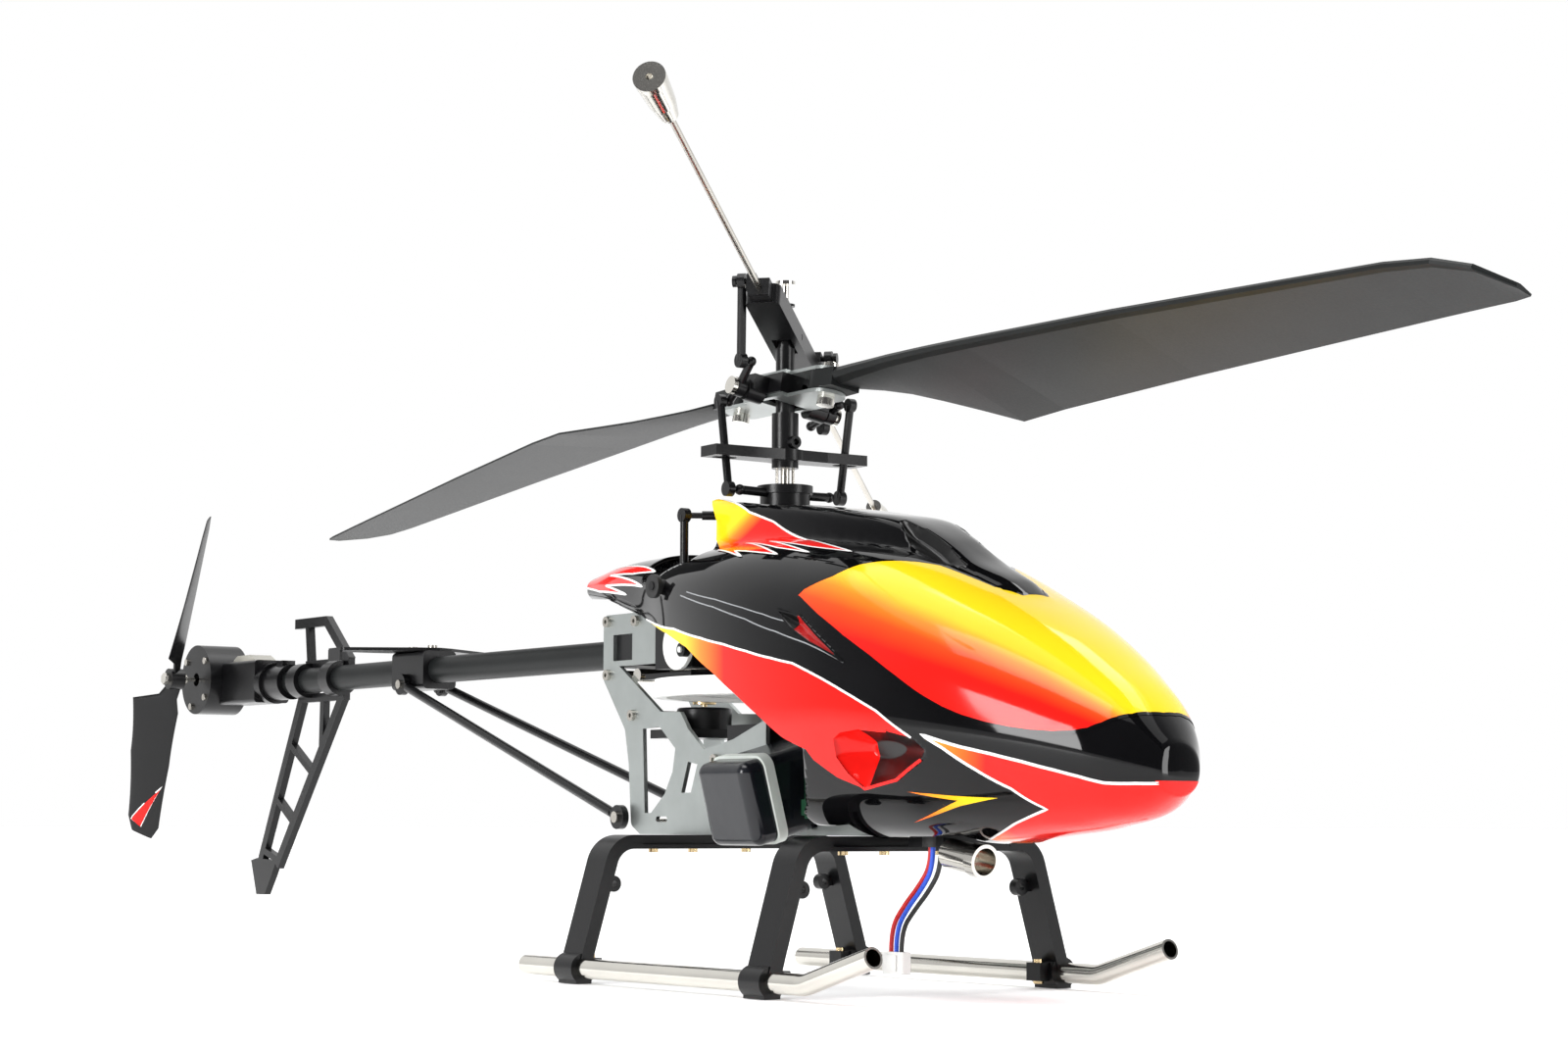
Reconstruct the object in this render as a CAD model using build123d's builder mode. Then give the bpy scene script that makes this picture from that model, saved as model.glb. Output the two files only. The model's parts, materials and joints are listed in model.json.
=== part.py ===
from build123d import *
from math import cos, pi, radians, sin, tan
import os

os.makedirs("parts", exist_ok=True)

# Remote control helicopter. Millimetres, +X to the nose, +Y to port, +Z up.
# The origin lies on the floor under the main mast.

# ---- driving dimensions -------------------------------------------------
skid_track = 114.8          # between the two skid tube axes
skid_radius = 3.3
skid_rear_x = -69.0
skid_bend_x = 91.6
skid_tip = (124.5, 14.2)    # x and z of the turned-up front end
clamp_radius = 5.0
bow_stations = (-38.0, 69.0)
bow_depth = 12.0
bow_top_z = 48.6

plate_outer_y = 17.0
plate_thick = 1.5
plate_inner_y = plate_outer_y - plate_thick
plate_bottom_z = 48.7
plate_top_z = 125.6

boom_z = 113.0
boom_radius = 5.25
boom_front_x = -64.0
boom_rear_x = -396.0
support_radius = 1.75

mast_radius = 1.5
mast_bottom_z = 68.0
gear_pitch_radius = 43.5
pinion_pitch_radius = 4.25
gear_z = 94.0
gear_face = 6.0
motor_x = -(gear_pitch_radius + pinion_pitch_radius)

blade_azimuth = -2.4        # degrees about +Z from the nose
hub_z = 196.8               # height of the blade roots
grip_roll = -10.4           # degrees about the blade axis as it stands
bolt_reach = 26.0
rotor_radius = 322.0
front_blade_droop = 7.0   # how far a tip hangs below its root
rear_blade_droop = 25.0

flybar_azimuth = -48.7
flybar_tilt = 15.7          # degrees, starboard end up, as it stands
flybar_z = 215.5
flybar_reach = 177.2
flybar_rod_radius = 1.05
weight_length = 22.3

swash_z = 158.0
arm_azimuths = (237.8, 122.2)
arm_reach = 30.4
servo_link_y = 28.0

tail_axis = (-433.0, 116.0)  # x and z of the tail rotor shaft
tail_rotor_y = -25.0
tail_rotor_radius = 76.0

wire_radius = 0.75

servo_axis = (-24.5, 112.0)  # x and z of the servos' output shafts
grommet_x = -21.5
grommet_z = 131.0


# ---- helpers ------------------------------------------------------------
def polar(reach, azimuth, z):
    """A point at a given reach and azimuth from the mast."""
    return Vector(reach * cos(radians(azimuth)), reach * sin(radians(azimuth)), z)


def facing(start, end):
    """The plane at start whose normal points to end."""
    start, end = Vector(start), Vector(end)
    return Plane(origin=start, z_dir=end - start)


def rod(start, end, radius, mode=Mode.ADD):
    """A round bar from start to end, inside the part being built."""
    length = (Vector(end) - Vector(start)).length
    with BuildSketch(facing(start, end)) as section:
        Circle(radius)
    extrude(section.sketch, amount=length, mode=mode)


def block(x, y, z, mode=Mode.ADD):
    """A box given by its low and high value along each axis."""
    centre = ((x[0] + x[1]) / 2, (y[0] + y[1]) / 2, (z[0] + z[1]) / 2)
    with Locations(centre):
        Box(x[1] - x[0], y[1] - y[0], z[1] - z[0], mode=mode)


def ball(centre, radius, mode=Mode.ADD):
    with Locations(centre):
        Sphere(radius, mode=mode)


def local(plane, x, y, z):
    """A point of a tilted frame, in the model's frame."""
    return plane.from_local_coords(Vector(x, y, z))


def save(builder, name):
    builder.part.label = name
    export_step(builder.part, f"parts/{name}.step")


head = Plane(origin=(0, 0, 0), x_dir=polar(1, blade_azimuth, 0), z_dir=(0, 0, 1))
grip = Plane(head.offset(hub_z).location * Location((0, 0, 0), (grip_roll, 0, 0)))
flybar = Plane(Location((0, 0, flybar_z), (0, 0, flybar_azimuth)) * Location((0, 0, 0), (0, -flybar_tilt, 0)))


# ---- frame --------------------------------------------------------------
plate_outline = [
    (-86.5, plate_top_z), (56, plate_top_z), (60, 74), (80, 60), (80, plate_bottom_z),
    (-62, plate_bottom_z), (-67.7, 52), (-69.4, 73), (-72, 85), (-86.5, 103),
]
gear_window = [
    (-76, 107.3), (-53, 107.3), (-53, 119.4), (46, 119.4), (46, 88), (11, 85.6), (-5.4, 80.2),
    (-22.8, 77.2), (-32.4, 84.4), (-37.2, 90.2), (-49.4, 90.6),
]
rear_window = [(-60.5, 85), (-59, 56), (-55, 56), (-46.5, 62.5), (-41.7, 70), (-40.1, 77.8), (-50, 85.5)]
rear_slot = [(-32.3, 73.2), (-26.6, 72.3), (-30.4, 62.8), (-36.3, 62.8)]
boom_window = (-80, -67.7, 109.2, 118.4)
battery_x = (14.0, 41.5)
battery_window_z = (50.6, 85.0)
battery_size = (27.5, 56.0, 27.0)
battery_centre = (27.75, -15.6, 65.0)
battery_sag = 15.0          # degrees, starboard end down


def frame_plates():
    with BuildPart() as plates:
        for side in (-1, 1):
            with BuildSketch(Plane.XZ.offset(-side * plate_inner_y)):
                with BuildLine():
                    Polyline(*plate_outline, close=True)
                make_face()
                fillet(vertices().filter_by(lambda v: v.X < 0 or v.Y < 80), 2.5)
                for outline in (gear_window, rear_window, rear_slot):
                    with BuildLine():
                        Polyline(*outline, close=True)
                    make_face(mode=Mode.SUBTRACT)
                with Locations(((boom_window[0] + boom_window[1]) / 2, (boom_window[2] + boom_window[3]) / 2)):
                    Rectangle(boom_window[1] - boom_window[0], boom_window[3] - boom_window[2], mode=Mode.SUBTRACT)
                if side < 0:
                    with Locations((sum(battery_x) / 2, sum(battery_window_z) / 2)):
                        Rectangle(battery_size[0] + 1.1, battery_window_z[1] - battery_window_z[0], mode=Mode.SUBTRACT)
                with Locations((-48.4, 53.9)):
                    SlotOverall(7, 1.9, mode=Mode.SUBTRACT)
            extrude(amount=-side * plate_thick)
    save(plates, "frame_plates")


def frame_spacers():
    """Polished round tubes that hold the two plates apart."""
    places = ((-83.2, 104.4, 1.9), (-66.8, 103.8, 2.4), (-67, 89.8, 1.9), (-53.5, 52.2, 1.9),
              (-15.6, 76.4, 1.9), (52, 119, 1.9), (76, 55, 1.9))
    with BuildPart() as spacers:
        for x, z, radius in places:
            rod((x, -plate_inner_y, z), (x, plate_inner_y, z), radius)
    save(spacers, "frame_spacers")


def frame_screws():
    """Round head screws on the outer faces of both plates."""
    places = ((-83.5, 123.2), (-65.1, 122.6), (-83.2, 104.4), (-67, 89.8),
              (-15.6, 73.6), (52, 119), (76, 54), (64, 62))
    with BuildPart() as screws:
        for side in (-1, 1):
            for x, z in places:
                with BuildSketch(Plane.XZ.offset(-side * plate_outer_y)):
                    with Locations((x, z)):
                        Circle(1.9)
                        Circle(0.75, mode=Mode.SUBTRACT)
                extrude(amount=-side * 1.3)
    save(screws, "frame_screws")


def frame_blocks():
    """Black moulded blocks between the plates: mast, motor, boom and canopy post."""
    with BuildPart() as blocks:
        block((-14, 14), (-plate_inner_y, plate_inner_y), (106, 119))
        block((-11, 11), (-plate_inner_y, plate_inner_y), (77.6, 85))
        rod((0, 0, 77), (0, 0, 120), 4.0, mode=Mode.SUBTRACT)
        block((-61.8, -33), (-plate_inner_y, plate_inner_y), (102.0, 104.0))
        rod((motor_x, 0, 101), (motor_x, 0, 105), 5.4, mode=Mode.SUBTRACT)
        rod((motor_x, 0, 83.4), (motor_x, 0, 92.2), 9.5)
        fillet(blocks.edges().filter_by(GeomType.CIRCLE).filter_by_position(Axis.Z, 92.1, 92.3), 1.0)
        block((-58, -38), (-plate_inner_y, plate_inner_y), (81.6, 84.6))
        block((-85.5, -62.6), (-plate_inner_y, plate_inner_y), (107.0, 121.5))
        rod((-86, 0, boom_z), (-62, 0, boom_z), boom_radius, mode=Mode.SUBTRACT)
        block((-85.5, -62.6), (-0.5, 0.5), (boom_z, 121.5), mode=Mode.SUBTRACT)
        rod((grommet_x, -39.4, grommet_z), (grommet_x, 39.4, grommet_z), 1.5)
        block((grommet_x - 2.4, grommet_x + 2.4), (-plate_inner_y, plate_inner_y), (119.5, grommet_z - 1.0))
    save(blocks, "frame_blocks")


def mast_bearings():
    """Ball bearings pressed into the two blocks."""
    with BuildPart() as bearings:
        for low in (77.6, 82.0, 106.0, 116.0):
            with BuildSketch(Plane.XY.offset(low)):
                Circle(4.0)
                Circle(mast_radius + 0.04, mode=Mode.SUBTRACT)
            extrude(amount=3.0)
    save(bearings, "mast_bearings")


def main_motor():
    """The drive motor stands over the gear, with its shaft down."""
    with BuildPart() as motor:
        with BuildSketch(Plane.XY.offset(104.0)):
            with Locations((motor_x, 0)):
                Circle(12.0)
        extrude(amount=28.0)
        fillet(motor.edges().filter_by(GeomType.CIRCLE), 1.2)
        for angle in range(0, 360, 30):
            with Locations((motor_x + 12.0 * cos(radians(angle)), 12.0 * sin(radians(angle)), 112.0)):
                Box(1.2, 1.2, 12.0, mode=Mode.SUBTRACT)
        with BuildSketch(Plane.XY.offset(104.0)):
            with Locations((motor_x, 0)):
                Circle(2.2)
        extrude(amount=4.0, mode=Mode.SUBTRACT)
        with BuildSketch(Plane.XY.offset(132.0)):
            with Locations((motor_x, 0)):
                Circle(3.0)
        extrude(amount=1.6)
    save(motor, "main_motor")


def servos():
    """Two small servos on the outer faces of the plates, shafts outward."""
    with BuildPart() as bodies:
        for side in (-1, 1):
            inner, outer = side * (plate_outer_y + 0.05), side * 24.4
            block((-41.5, -19), sorted((inner, outer)), (104.5, 126))
            block((-44.5, -16), sorted((inner, side * 19.2)), (119.6, 122))
            rod((servo_axis[0], outer, servo_axis[1]), (servo_axis[0], side * 25.6, servo_axis[1]), 2.9)
    save(bodies, "servos")


def receiver_board():
    with BuildPart() as board:
        block((45.5, 66), (-24.6, -23.0), (54, 73))
        block((48, 63), (-23.0, -18.5), (57, 70))
        block((46.5, 50), (-26.6, -24.6), (55, 60))
        block((53, 59), (-26.2, -24.6), (61, 69))
        for x in (49, 62):
            rod((x, -plate_outer_y, 71.5), (x, -23.0, 71.5), 1.3)
    save(board, "receiver_board")


def belly_tray():
    """The black floor between the plates, which runs on under the nose."""
    with BuildPart() as tray:
        block((-58, 115), (-15.4, 15.4), (plate_bottom_z, 49.7))
        block((40, 115), (-15.4, 15.4), (49.7, 51.2))
        block((84, 101), (-13, 13), (45.4, plate_bottom_z))
        for x in (87, 93):
            block((x, x + 3), (2, 11), (45.4, 46.4), mode=Mode.SUBTRACT)
        rod((94.2, -10.4, 45), (94.2, -10.4, 52), 4.2, mode=Mode.SUBTRACT)
    save(tray, "belly_tray")


# ---- landing gear -------------------------------------------------------
def landing_bow(name, x):
    """One black bow: a crossbar, two splayed legs, and a clamp at each foot."""
    half = bow_depth / 2
    foot_y = skid_track / 2
    path = [(-foot_y + 0.6, 7), (-45.2, 46.3), (45.2, 46.3), (foot_y - 0.6, 7)]
    with BuildPart() as bow:
        with BuildSketch(Plane.YZ.offset(x - half)):
            with BuildLine():
                FilletPolyline(*path, radius=9)
            trace(line_width=4.6)
        extrude(amount=bow_depth)
        with BuildSketch(Plane.YZ.offset(x + half - 3.6)):
            with BuildLine():
                Line((-35, 46.3), (35, 46.3))
            trace(line_width=1.8)
        extrude(amount=3.6, mode=Mode.SUBTRACT)
        for side in (-1, 1):
            centre = (x, side * foot_y, clamp_radius)
            rod((x - 5.5, centre[1], centre[2]), (x + 5.5, centre[1], centre[2]), clamp_radius)
            block((x - 5.5, x + 5.5), sorted((side * (foot_y - 3), side * (foot_y + 3))), (0, 1.6))
            block((x - 3.4, x + 3.4), sorted((side * (foot_y - 8.2), side * (foot_y - 3))), (2.4, 8.2))
            nub = (x, side * 43.4, 32.4)
            rod((x - 1.6, nub[1], nub[2]), (x + 1.6, nub[1], nub[2]), 2.7)
            block((x - 1.6, x + 1.6), sorted((nub[1], side * 48)), (31.0, 33.8))
            rod((x - 1.6, nub[1], nub[2]), (x + 1.6, nub[1], nub[2]), 1.1, mode=Mode.SUBTRACT)
            rod((x - 7, centre[1], centre[2]), (x + 7, centre[1], centre[2]), skid_radius, mode=Mode.SUBTRACT)
    save(bow, name)


def skid_tubes():
    with BuildPart() as tubes:
        for side in (-1, 1):
            y = side * skid_track / 2
            with BuildLine(Plane.XZ.offset(-y)) as path:
                FilletPolyline((skid_rear_x, 5.0), (skid_bend_x, 5.0), skid_tip, radius=16)
            with BuildSketch(facing((skid_rear_x, y, 5.0), (skid_bend_x, y, 5.0))) as section:
                Circle(skid_radius)
                Circle(skid_radius - 0.7, mode=Mode.SUBTRACT)
            sweep(section.sketch, path=path.line)
    save(tubes, "skid_tubes")


def landing_gear_screws():
    """Clamp screws at the feet, and brass screws up into the frame."""
    with BuildPart() as screws:
        for x in bow_stations:
            for side in (-1, 1):
                y = side * (skid_track / 2 - 6.0)
                rod((x, y, 8.2), (x, y, 9.3), 1.5)
                rod((x, y, 1.5), (x, y, 2.4), 1.7)
            for y in (-27, -11, 11, 27):
                rod((x, y, 42.8), (x, y, 44.0), 1.6)
    save(screws, "landing_gear_screws")


# ---- battery ------------------------------------------------------------
def battery():
    """The pack lies across the frame and sags out of the starboard window."""
    seat = Plane(Location(battery_centre, (battery_sag, 0, 0)))
    with BuildPart(seat) as pack:
        Box(*battery_size)
        fillet(pack.edges(), 3.6)
    save(pack, "battery_pack")
    belt = Plane(seat.location * Location((0, -16.5, 0), (90, 0, 0)))
    with BuildPart() as strap:
        with BuildSketch(belt):
            RectangleRounded(battery_size[0] + 1.8, battery_size[2] + 1.8, 4.4)
            RectangleRounded(battery_size[0] + 0.06, battery_size[2] + 0.06, 3.6, mode=Mode.SUBTRACT)
        extrude(amount=3.4)
    save(strap, "battery_strap")


# ---- canopy -------------------------------------------------------------
# x, half width, lowest z, highest z and squareness of the shell at each station
canopy_stations = [
    (-110, 9.5, 132, 141.5, 2.4), (-78, 20, 124, 144.5, 2.6), (-44, 28.5, 112, 145, 2.8),
    (-10, 39.6, 88, 145, 3.0), (24, 46.6, 62, 145.5, 2.9), (56, 48.5, 47.5, 142.5, 2.8), (88, 47, 46.4, 136.5, 2.6),
    (118, 42.5, 46.6, 125, 2.4), (144, 34.5, 48.6, 113, 2.3), (166, 25.5, 51.5, 99.8, 2.2),
    (182, 16.5, 55.5, 87, 2.2), (191, 8, 60.5, 75.5, 2.2),
]
deck_stations = [
    (-16, 21, 138, 161.6, 7.0), (8, 21.3, 138, 158.8, 6.5), (32, 20.6, 137, 155.4, 6.0), (56, 18.4, 135, 151.6, 5.0),
    (78, 15, 131, 147.2, 4.0), (92, 12.4, 126, 141, 3.4), (106, 10.2, 120, 132.5, 3.0),
    (122, 7.6, 114, 125.2, 3.0), (138, 5, 106, 114.5, 3.0),
]
canopy_wall = 1.3
rear_cut = [
    (-120, 40), (-120, 134), (-82, 131), (-39.5, 121), (-13, 115), (6, 110), (26, 100.3), (42.5, 92.3),
    (55, 85), (66, 78.3), (75, 75), (74, 70.3), (71.5, 64.5), (66.5, 58.3), (61, 55.5), (60, 40),
]
link_opening = [(-46, -31.5), (-9.5, -31.5), (-9.5, -19.4), (28, -19.4), (34, -14), (34, 14), (28, 19.4), (-9.5, 19.4),
                (-9.5, 31.5), (-46, 31.5)]


def shell_outline(half_width, low, high, squareness, count=24):
    """A closed rounded outline in the YZ plane."""
    middle = (low + high) / 2
    rise = (high - low) / 2
    points = []
    for index in range(count):
        angle = 2 * pi * index / count
        across = abs(cos(angle)) ** (2 / squareness) * (1 if cos(angle) >= 0 else -1)
        upward = abs(sin(angle)) ** (2 / squareness) * (1 if sin(angle) >= 0 else -1)
        points.append((half_width * across, middle + rise * upward))
    return points


def hull(stations, inset, mode):
    """A smooth body through the stations, drawn in by inset."""
    sections = []
    for x, half_width, low, high, squareness in stations:
        if x == stations[-1][0]:
            x = x - inset
        outline = shell_outline(half_width - inset, low + inset, high - inset, squareness)
        with BuildSketch(Plane.YZ.offset(x)) as section:
            with BuildLine():
                Spline(*outline, periodic=True)
            make_face()
        sections.append(section.sketch)
    loft(sections, mode=mode)


def canopy():
    """A thin open shell: nose, sides, raised deck, and a tail over the boom."""
    with BuildPart() as shell:
        hull(canopy_stations, 0, Mode.ADD)
        hull(deck_stations, 0, Mode.ADD)
        hull(canopy_stations, canopy_wall, Mode.SUBTRACT)
        hull(deck_stations, canopy_wall, Mode.SUBTRACT)
        with BuildSketch(Plane.XZ.offset(-60)):
            with BuildLine():
                Polyline(*rear_cut, close=True)
            make_face()
        extrude(amount=120, mode=Mode.SUBTRACT)
        with BuildSketch(Plane.XY.offset(134)):
            with BuildLine():
                Polyline(*link_opening, close=True)
            make_face()
        extrude(amount=44, mode=Mode.SUBTRACT)
        block((60, 78), (-31, 31), (40, 56), mode=Mode.SUBTRACT)
        block((78, 118), (-20, 20), (40, 56), mode=Mode.SUBTRACT)
        for side in (-1, 1):
            rod((grommet_x, side * 28, grommet_z), (grommet_x, side * 48, grommet_z), 2.6, mode=Mode.SUBTRACT)
    save(shell, "canopy")


def rubber_grommets():
    """Two canopy grommets on the post, and the bush round the wires."""
    with BuildPart() as grommets:
        for side in (-1, 1):
            for inner, outer, radius in ((30.8, 31.5, 3.7), (31.5, 37.4, 2.5), (37.4, 39.0, 4.0)):
                rod((grommet_x, side * inner, grommet_z), (grommet_x, side * outer, grommet_z), radius)
            rod((grommet_x, side * 24, grommet_z), (grommet_x, side * 42, grommet_z), 1.5, mode=Mode.SUBTRACT)
        rod((94.2, -10.4, 45.4), (94.2, -10.4, 51.2), 4.2)
    save(grommets, "rubber_grommets")


def belly_pipe():
    """A short polished pipe under the nose, open in front."""
    rear, front = Vector(102.5, -11.5, 43.7), Vector(119.0, -11.5, 41.2)
    along = (front - rear).normalized()
    with BuildPart() as pipe:
        rod(rear, front, 4.6)
        rod(front - along * 4, front, 5.2)
        rod(rear + along * 3, front + along, 4.1, mode=Mode.SUBTRACT)
    save(pipe, "belly_pipe")


# ---- wires --------------------------------------------------------------
wire_routes = {
    "wire_red": [(91.8, -10.6, 45.4), (91.8, -10.6, 39.8), (87.6, -11.8, 33.6), (81.6, -12.9, 27.6),
                 (76.2, -13.8, 20.6), (76.2, -13.8, 13.4)],
    "wire_blue": [(94.2, -11.6, 45.4), (94.2, -11.6, 39.2), (89.8, -12.4, 32.8), (83.8, -13.1, 27.0),
                  (78.8, -13.8, 20.2), (78.8, -13.8, 13.4)],
    "wire_black": [(96.8, -10.6, 45.4), (96.8, -10.6, 39.0), (92.8, -12.0, 32.2), (87.0, -13.0, 26.4),
                   (81.4, -13.8, 20.0), (81.4, -13.8, 13.4)],
}


def corner_radii(route):
    """0.45 of the shorter run over the tangent of half the turn, at each corner."""
    points = [Vector(p) for p in route]
    radii = []
    for before, corner, after in zip(points, points[1:], points[2:]):
        turn = (corner - before).get_angle(after - corner)
        shorter = min((corner - before).length, (after - corner).length)
        radii.append(0.45 * shorter / tan(radians(turn / 2)))
    return radii


def wire(name, route):
    radii = corner_radii(route)
    with BuildPart() as tube:
        with BuildLine() as path:
            FilletPolyline(*route, radius=radii)
        with BuildSketch(facing(route[0], route[1])):
            Circle(wire_radius)
        sweep(path=path.line)
    save(tube, name)
    section = pi * wire_radius ** 2
    length = sum(edge.length for edge in path.edges())
    print(name, "length", round(length, 1), "radii", [round(r, 1) for r in radii],
          "volume", round(tube.part.volume, 2), "section times length", round(section * length, 2))


def wire_connector():
    """The white three-pin connector at the ends of the wires."""
    with BuildPart() as connector:
        block((73.6, 84.0), (-15.6, -12.0), (6.6, 13.4))
        fillet(connector.edges().filter_by(Axis.Z), 0.6)
        block((76.2, 81.4), (-16.2, -15.6), (7.6, 12.4))
        for x in (76.0, 78.8, 81.6):
            block((x - 0.8, x + 0.8), (-14.6, -13.0), (6.6, 9.2), mode=Mode.SUBTRACT)
    save(connector, "wire_connector")


# ---- tail ---------------------------------------------------------------
def tail_boom():
    with BuildPart() as boom:
        with BuildSketch(Plane.YZ.offset(boom_rear_x)):
            with Locations((0, boom_z)):
                Circle(boom_radius)
                Circle(boom_radius - 0.8, mode=Mode.SUBTRACT)
        extrude(amount=boom_front_x - boom_rear_x)
    save(boom, "tail_boom")


def boom_supports():
    """Two stays from the boom clamp down to the foot of the plates."""
    with BuildPart() as stays:
        for side in (-1, 1):
            top = Vector(-250, side * 9.0, 107.4)
            foot = Vector(-71.4, side * 19.4, 54.6)
            along = (foot - top).normalized()
            rod(top, foot, support_radius)
            for centre in (top, foot):
                low, high = centre - Vector(0, 1.2, 0), centre + Vector(0, 1.2, 0)
                rod(low, high, 4.2)
                for face, way in ((low, -1), (high, 1)):
                    rod(face, face + Vector(0, way * 3, 0), 5.2, mode=Mode.SUBTRACT)
                rod(low - Vector(0, 1, 0), high + Vector(0, 1, 0), 1.0, mode=Mode.SUBTRACT)
    save(stays, "boom_supports")


def stabiliser():
    with BuildPart() as clamp:
        block((-262, -236), (-7.4, 7.4), (105.4, 120.6))
        fillet(clamp.edges().filter_by(Axis.X), 2.0)
        rod((-262, 0, boom_z), (-236, 0, boom_z), boom_radius, mode=Mode.SUBTRACT)
        for side in (-1, 1):
            rod((-250, side * 6.4, 107.4), (-250, side * 7.8, 107.4), 3.0)
            rod((-250, side * 6.0, 107.4), (-250, side * 8.4, 107.4), 1.0, mode=Mode.SUBTRACT)
    save(clamp, "stabiliser_clamp")
    with BuildPart() as plane:
        with BuildSketch(Plane.XY.offset(120.6)):
            with BuildLine():
                Polyline((-236, 0), (-239, 7), (-256, 33), (-270, 33), (-264, 0), (-270, -33), (-256, -33),
                         (-239, -7), close=True)
            make_face()
            fillet(vertices().group_by(Axis.Y)[0] + vertices().group_by(Axis.Y)[-1], 2.5)
        extrude(amount=1.2)
        for side in (-1, 1):
            block((-268, -258), sorted((side * 31.8, side * 33)), (116.6, 121.2))
    save(plane, "horizontal_stabiliser")


def bar(points, width):
    """A flat bar of the fin's lattice along points, inside a sketch."""
    with BuildLine() as line:
        Polyline(*points)
    trace(line.line, line_width=width)


def vertical_fin():
    with BuildPart() as fin:
        with BuildSketch(Plane.XZ.offset(-1.5)):
            bar([(-361, 106), (-399, 34)], 4.2)
            bar([(-323, 106), (-382, 34)], 4.4)
            bar([(-341, 106), (-341.5, 84)], 3.4)
            bar([(-371, 86), (-349, 73)], 2.8)
            bar([(-384, 63), (-366, 52)], 2.8)
            bar([(-397, 41), (-380, 36)], 2.8)
            bar([(-362, 105.6), (-321, 105.6)], 3.6)
            with BuildLine():
                Polyline((-401, 37), (-406.8, 36), (-401, 21.2), (-393, 21.2), (-386, 30), (-382, 36), close=True)
            make_face()
            bar([(-367.8, 138), (-339, 138), (-318, 120)], 4.2)
            bar([(-356.5, 138), (-354, 120)], 3.0)
            bar([(-357, 120), (-317, 120)], 3.2)
        extrude(amount=-3.0)
        rod((-358.4, 0, boom_z), (-350.4, 0, boom_z), 7.4)
        rod((-328, 0, boom_z), (-320, 0, boom_z), 7.4)
        rod((-359, 0, boom_z), (-317, 0, boom_z), boom_radius, mode=Mode.SUBTRACT)
    save(fin, "vertical_fin")


def tail_unit():
    """Moulded tail housing with its ring clamp, motor, lens and screws."""
    x, z = tail_axis
    with BuildPart() as housing:
        rod((-388, 0, boom_z), (-366, 0, boom_z), 7.6)
        rod((-386, 0, boom_z), (-381, 0, boom_z), 9.0)
        block((-424, -386), (-8.5, 8.0), (104.6, 123.2))
        fillet(housing.edges().filter_by(Axis.X), 1.6)
        rod((x, -14.5, z), (x, 4.0, z), 15.4)
        block((-376, -370), (-3, 3), (boom_z, 122.4))
        rod((-396.2, 0, boom_z), (-366, 0, boom_z), boom_radius, mode=Mode.SUBTRACT)
        rod((x, -12.0, z), (x, 9.0, z), 10.1, mode=Mode.SUBTRACT)
        rod((x, -14.5, z), (x, -12.0, z), 3.0, mode=Mode.SUBTRACT)
    save(housing, "tail_housing")
    with BuildPart() as motor:
        rod((x, -12.0, z), (x, 13.0, z), 10.0)
        fillet(motor.edges().filter_by(GeomType.CIRCLE), 1.0)
        rod((x, 13.0, z), (x, 15.0, z), 2.6)
    save(motor, "tail_motor")
    with BuildPart() as lens:
        with BuildSketch(Plane.XZ.offset(-5.0)):
            with BuildLine():
                Polyline((-416, 123.2), (-392, 123.2), (-398, 126.0), (-411, 126.0), close=True)
            make_face()
        extrude(amount=10.0)
    save(lens, "tail_lens")


def tail_fasteners():
    """Screws of the stays, the stabiliser and the tail motor."""
    x, z = tail_axis
    with BuildPart() as screws:
        for side in (-1, 1):
            rod((-71.4, side * plate_outer_y, 54.6), (-71.4, side * 20.6, 54.6), 1.0)
            rod((-71.4, side * 20.6, 54.6), (-71.4, side * 21.8, 54.6), 2.0)
            rod((-250, side * 7.4, 107.4), (-250, side * 10.2, 107.4), 1.0)
            rod((-250, side * 10.2, 107.4), (-250, side * 11.2, 107.4), 1.8)
        for at in (-258, -242):
            rod((at, 0, 121.8), (at, 0, 123.0), 1.9)
        for angle in (40, 140, 250, 320):
            centre = (x + 12.6 * cos(radians(angle)), z + 12.6 * sin(radians(angle)))
            rod((centre[0], -14.5, centre[1]), (centre[0], -15.5, centre[1]), 1.5)
    save(screws, "tail_fasteners")


def tail_rotor():
    """Two twisted blades on a hub, with a domed nut."""
    x, z = tail_axis
    lean = 25.0
    with BuildPart() as rotor:
        rod((x, -28.0, z), (x, -21.5, z), 4.6)
        for turn in (0, 180):
            stations = (
                (4.0, 7.0, 2.4, 0.0, 42), (9.0, 9.0, 2.2, 1.5, 42), (15.0, 23.0, 2.0, 6.5, 40), (40.0, 20.5, 1.8, 4.0, 36),
                (70.0, 17.0, 1.4, 0.6, 32), (tail_rotor_radius, 11.0, 1.0, 0.2, 32),
            )
            for reach, chord, thick, offset, pitch in stations:
                angle = radians(lean + turn)
                along = Vector(sin(angle), 0, cos(angle))
                origin = Vector(x, -24.8, z) + along * reach
                across = Vector(cos(angle), 0, -sin(angle))
                chord_dir = across * cos(radians(pitch)) - Vector(0, sin(radians(pitch)), 0)
                with BuildSketch(Plane(origin=origin + chord_dir * offset, x_dir=chord_dir, z_dir=along)):
                    Ellipse(chord / 2, thick / 2)
            loft(ruled=True)
        rod((x, -30.0, z), (x, -20.0, z), 1.0, mode=Mode.SUBTRACT)
    save(rotor, "tail_rotor")
    with BuildPart() as shaft:
        rod((x, -29.4, z), (x, -12.6, z), 1.0)
        with BuildSketch(facing((x, -28.0, z), (x, -31.0, z))):
            RegularPolygon(2.6, 6)
        extrude(amount=2.4)
        rod((x, -21.5, z), (x, -19.6, z), 2.4)
    save(shaft, "tail_shaft")


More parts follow.
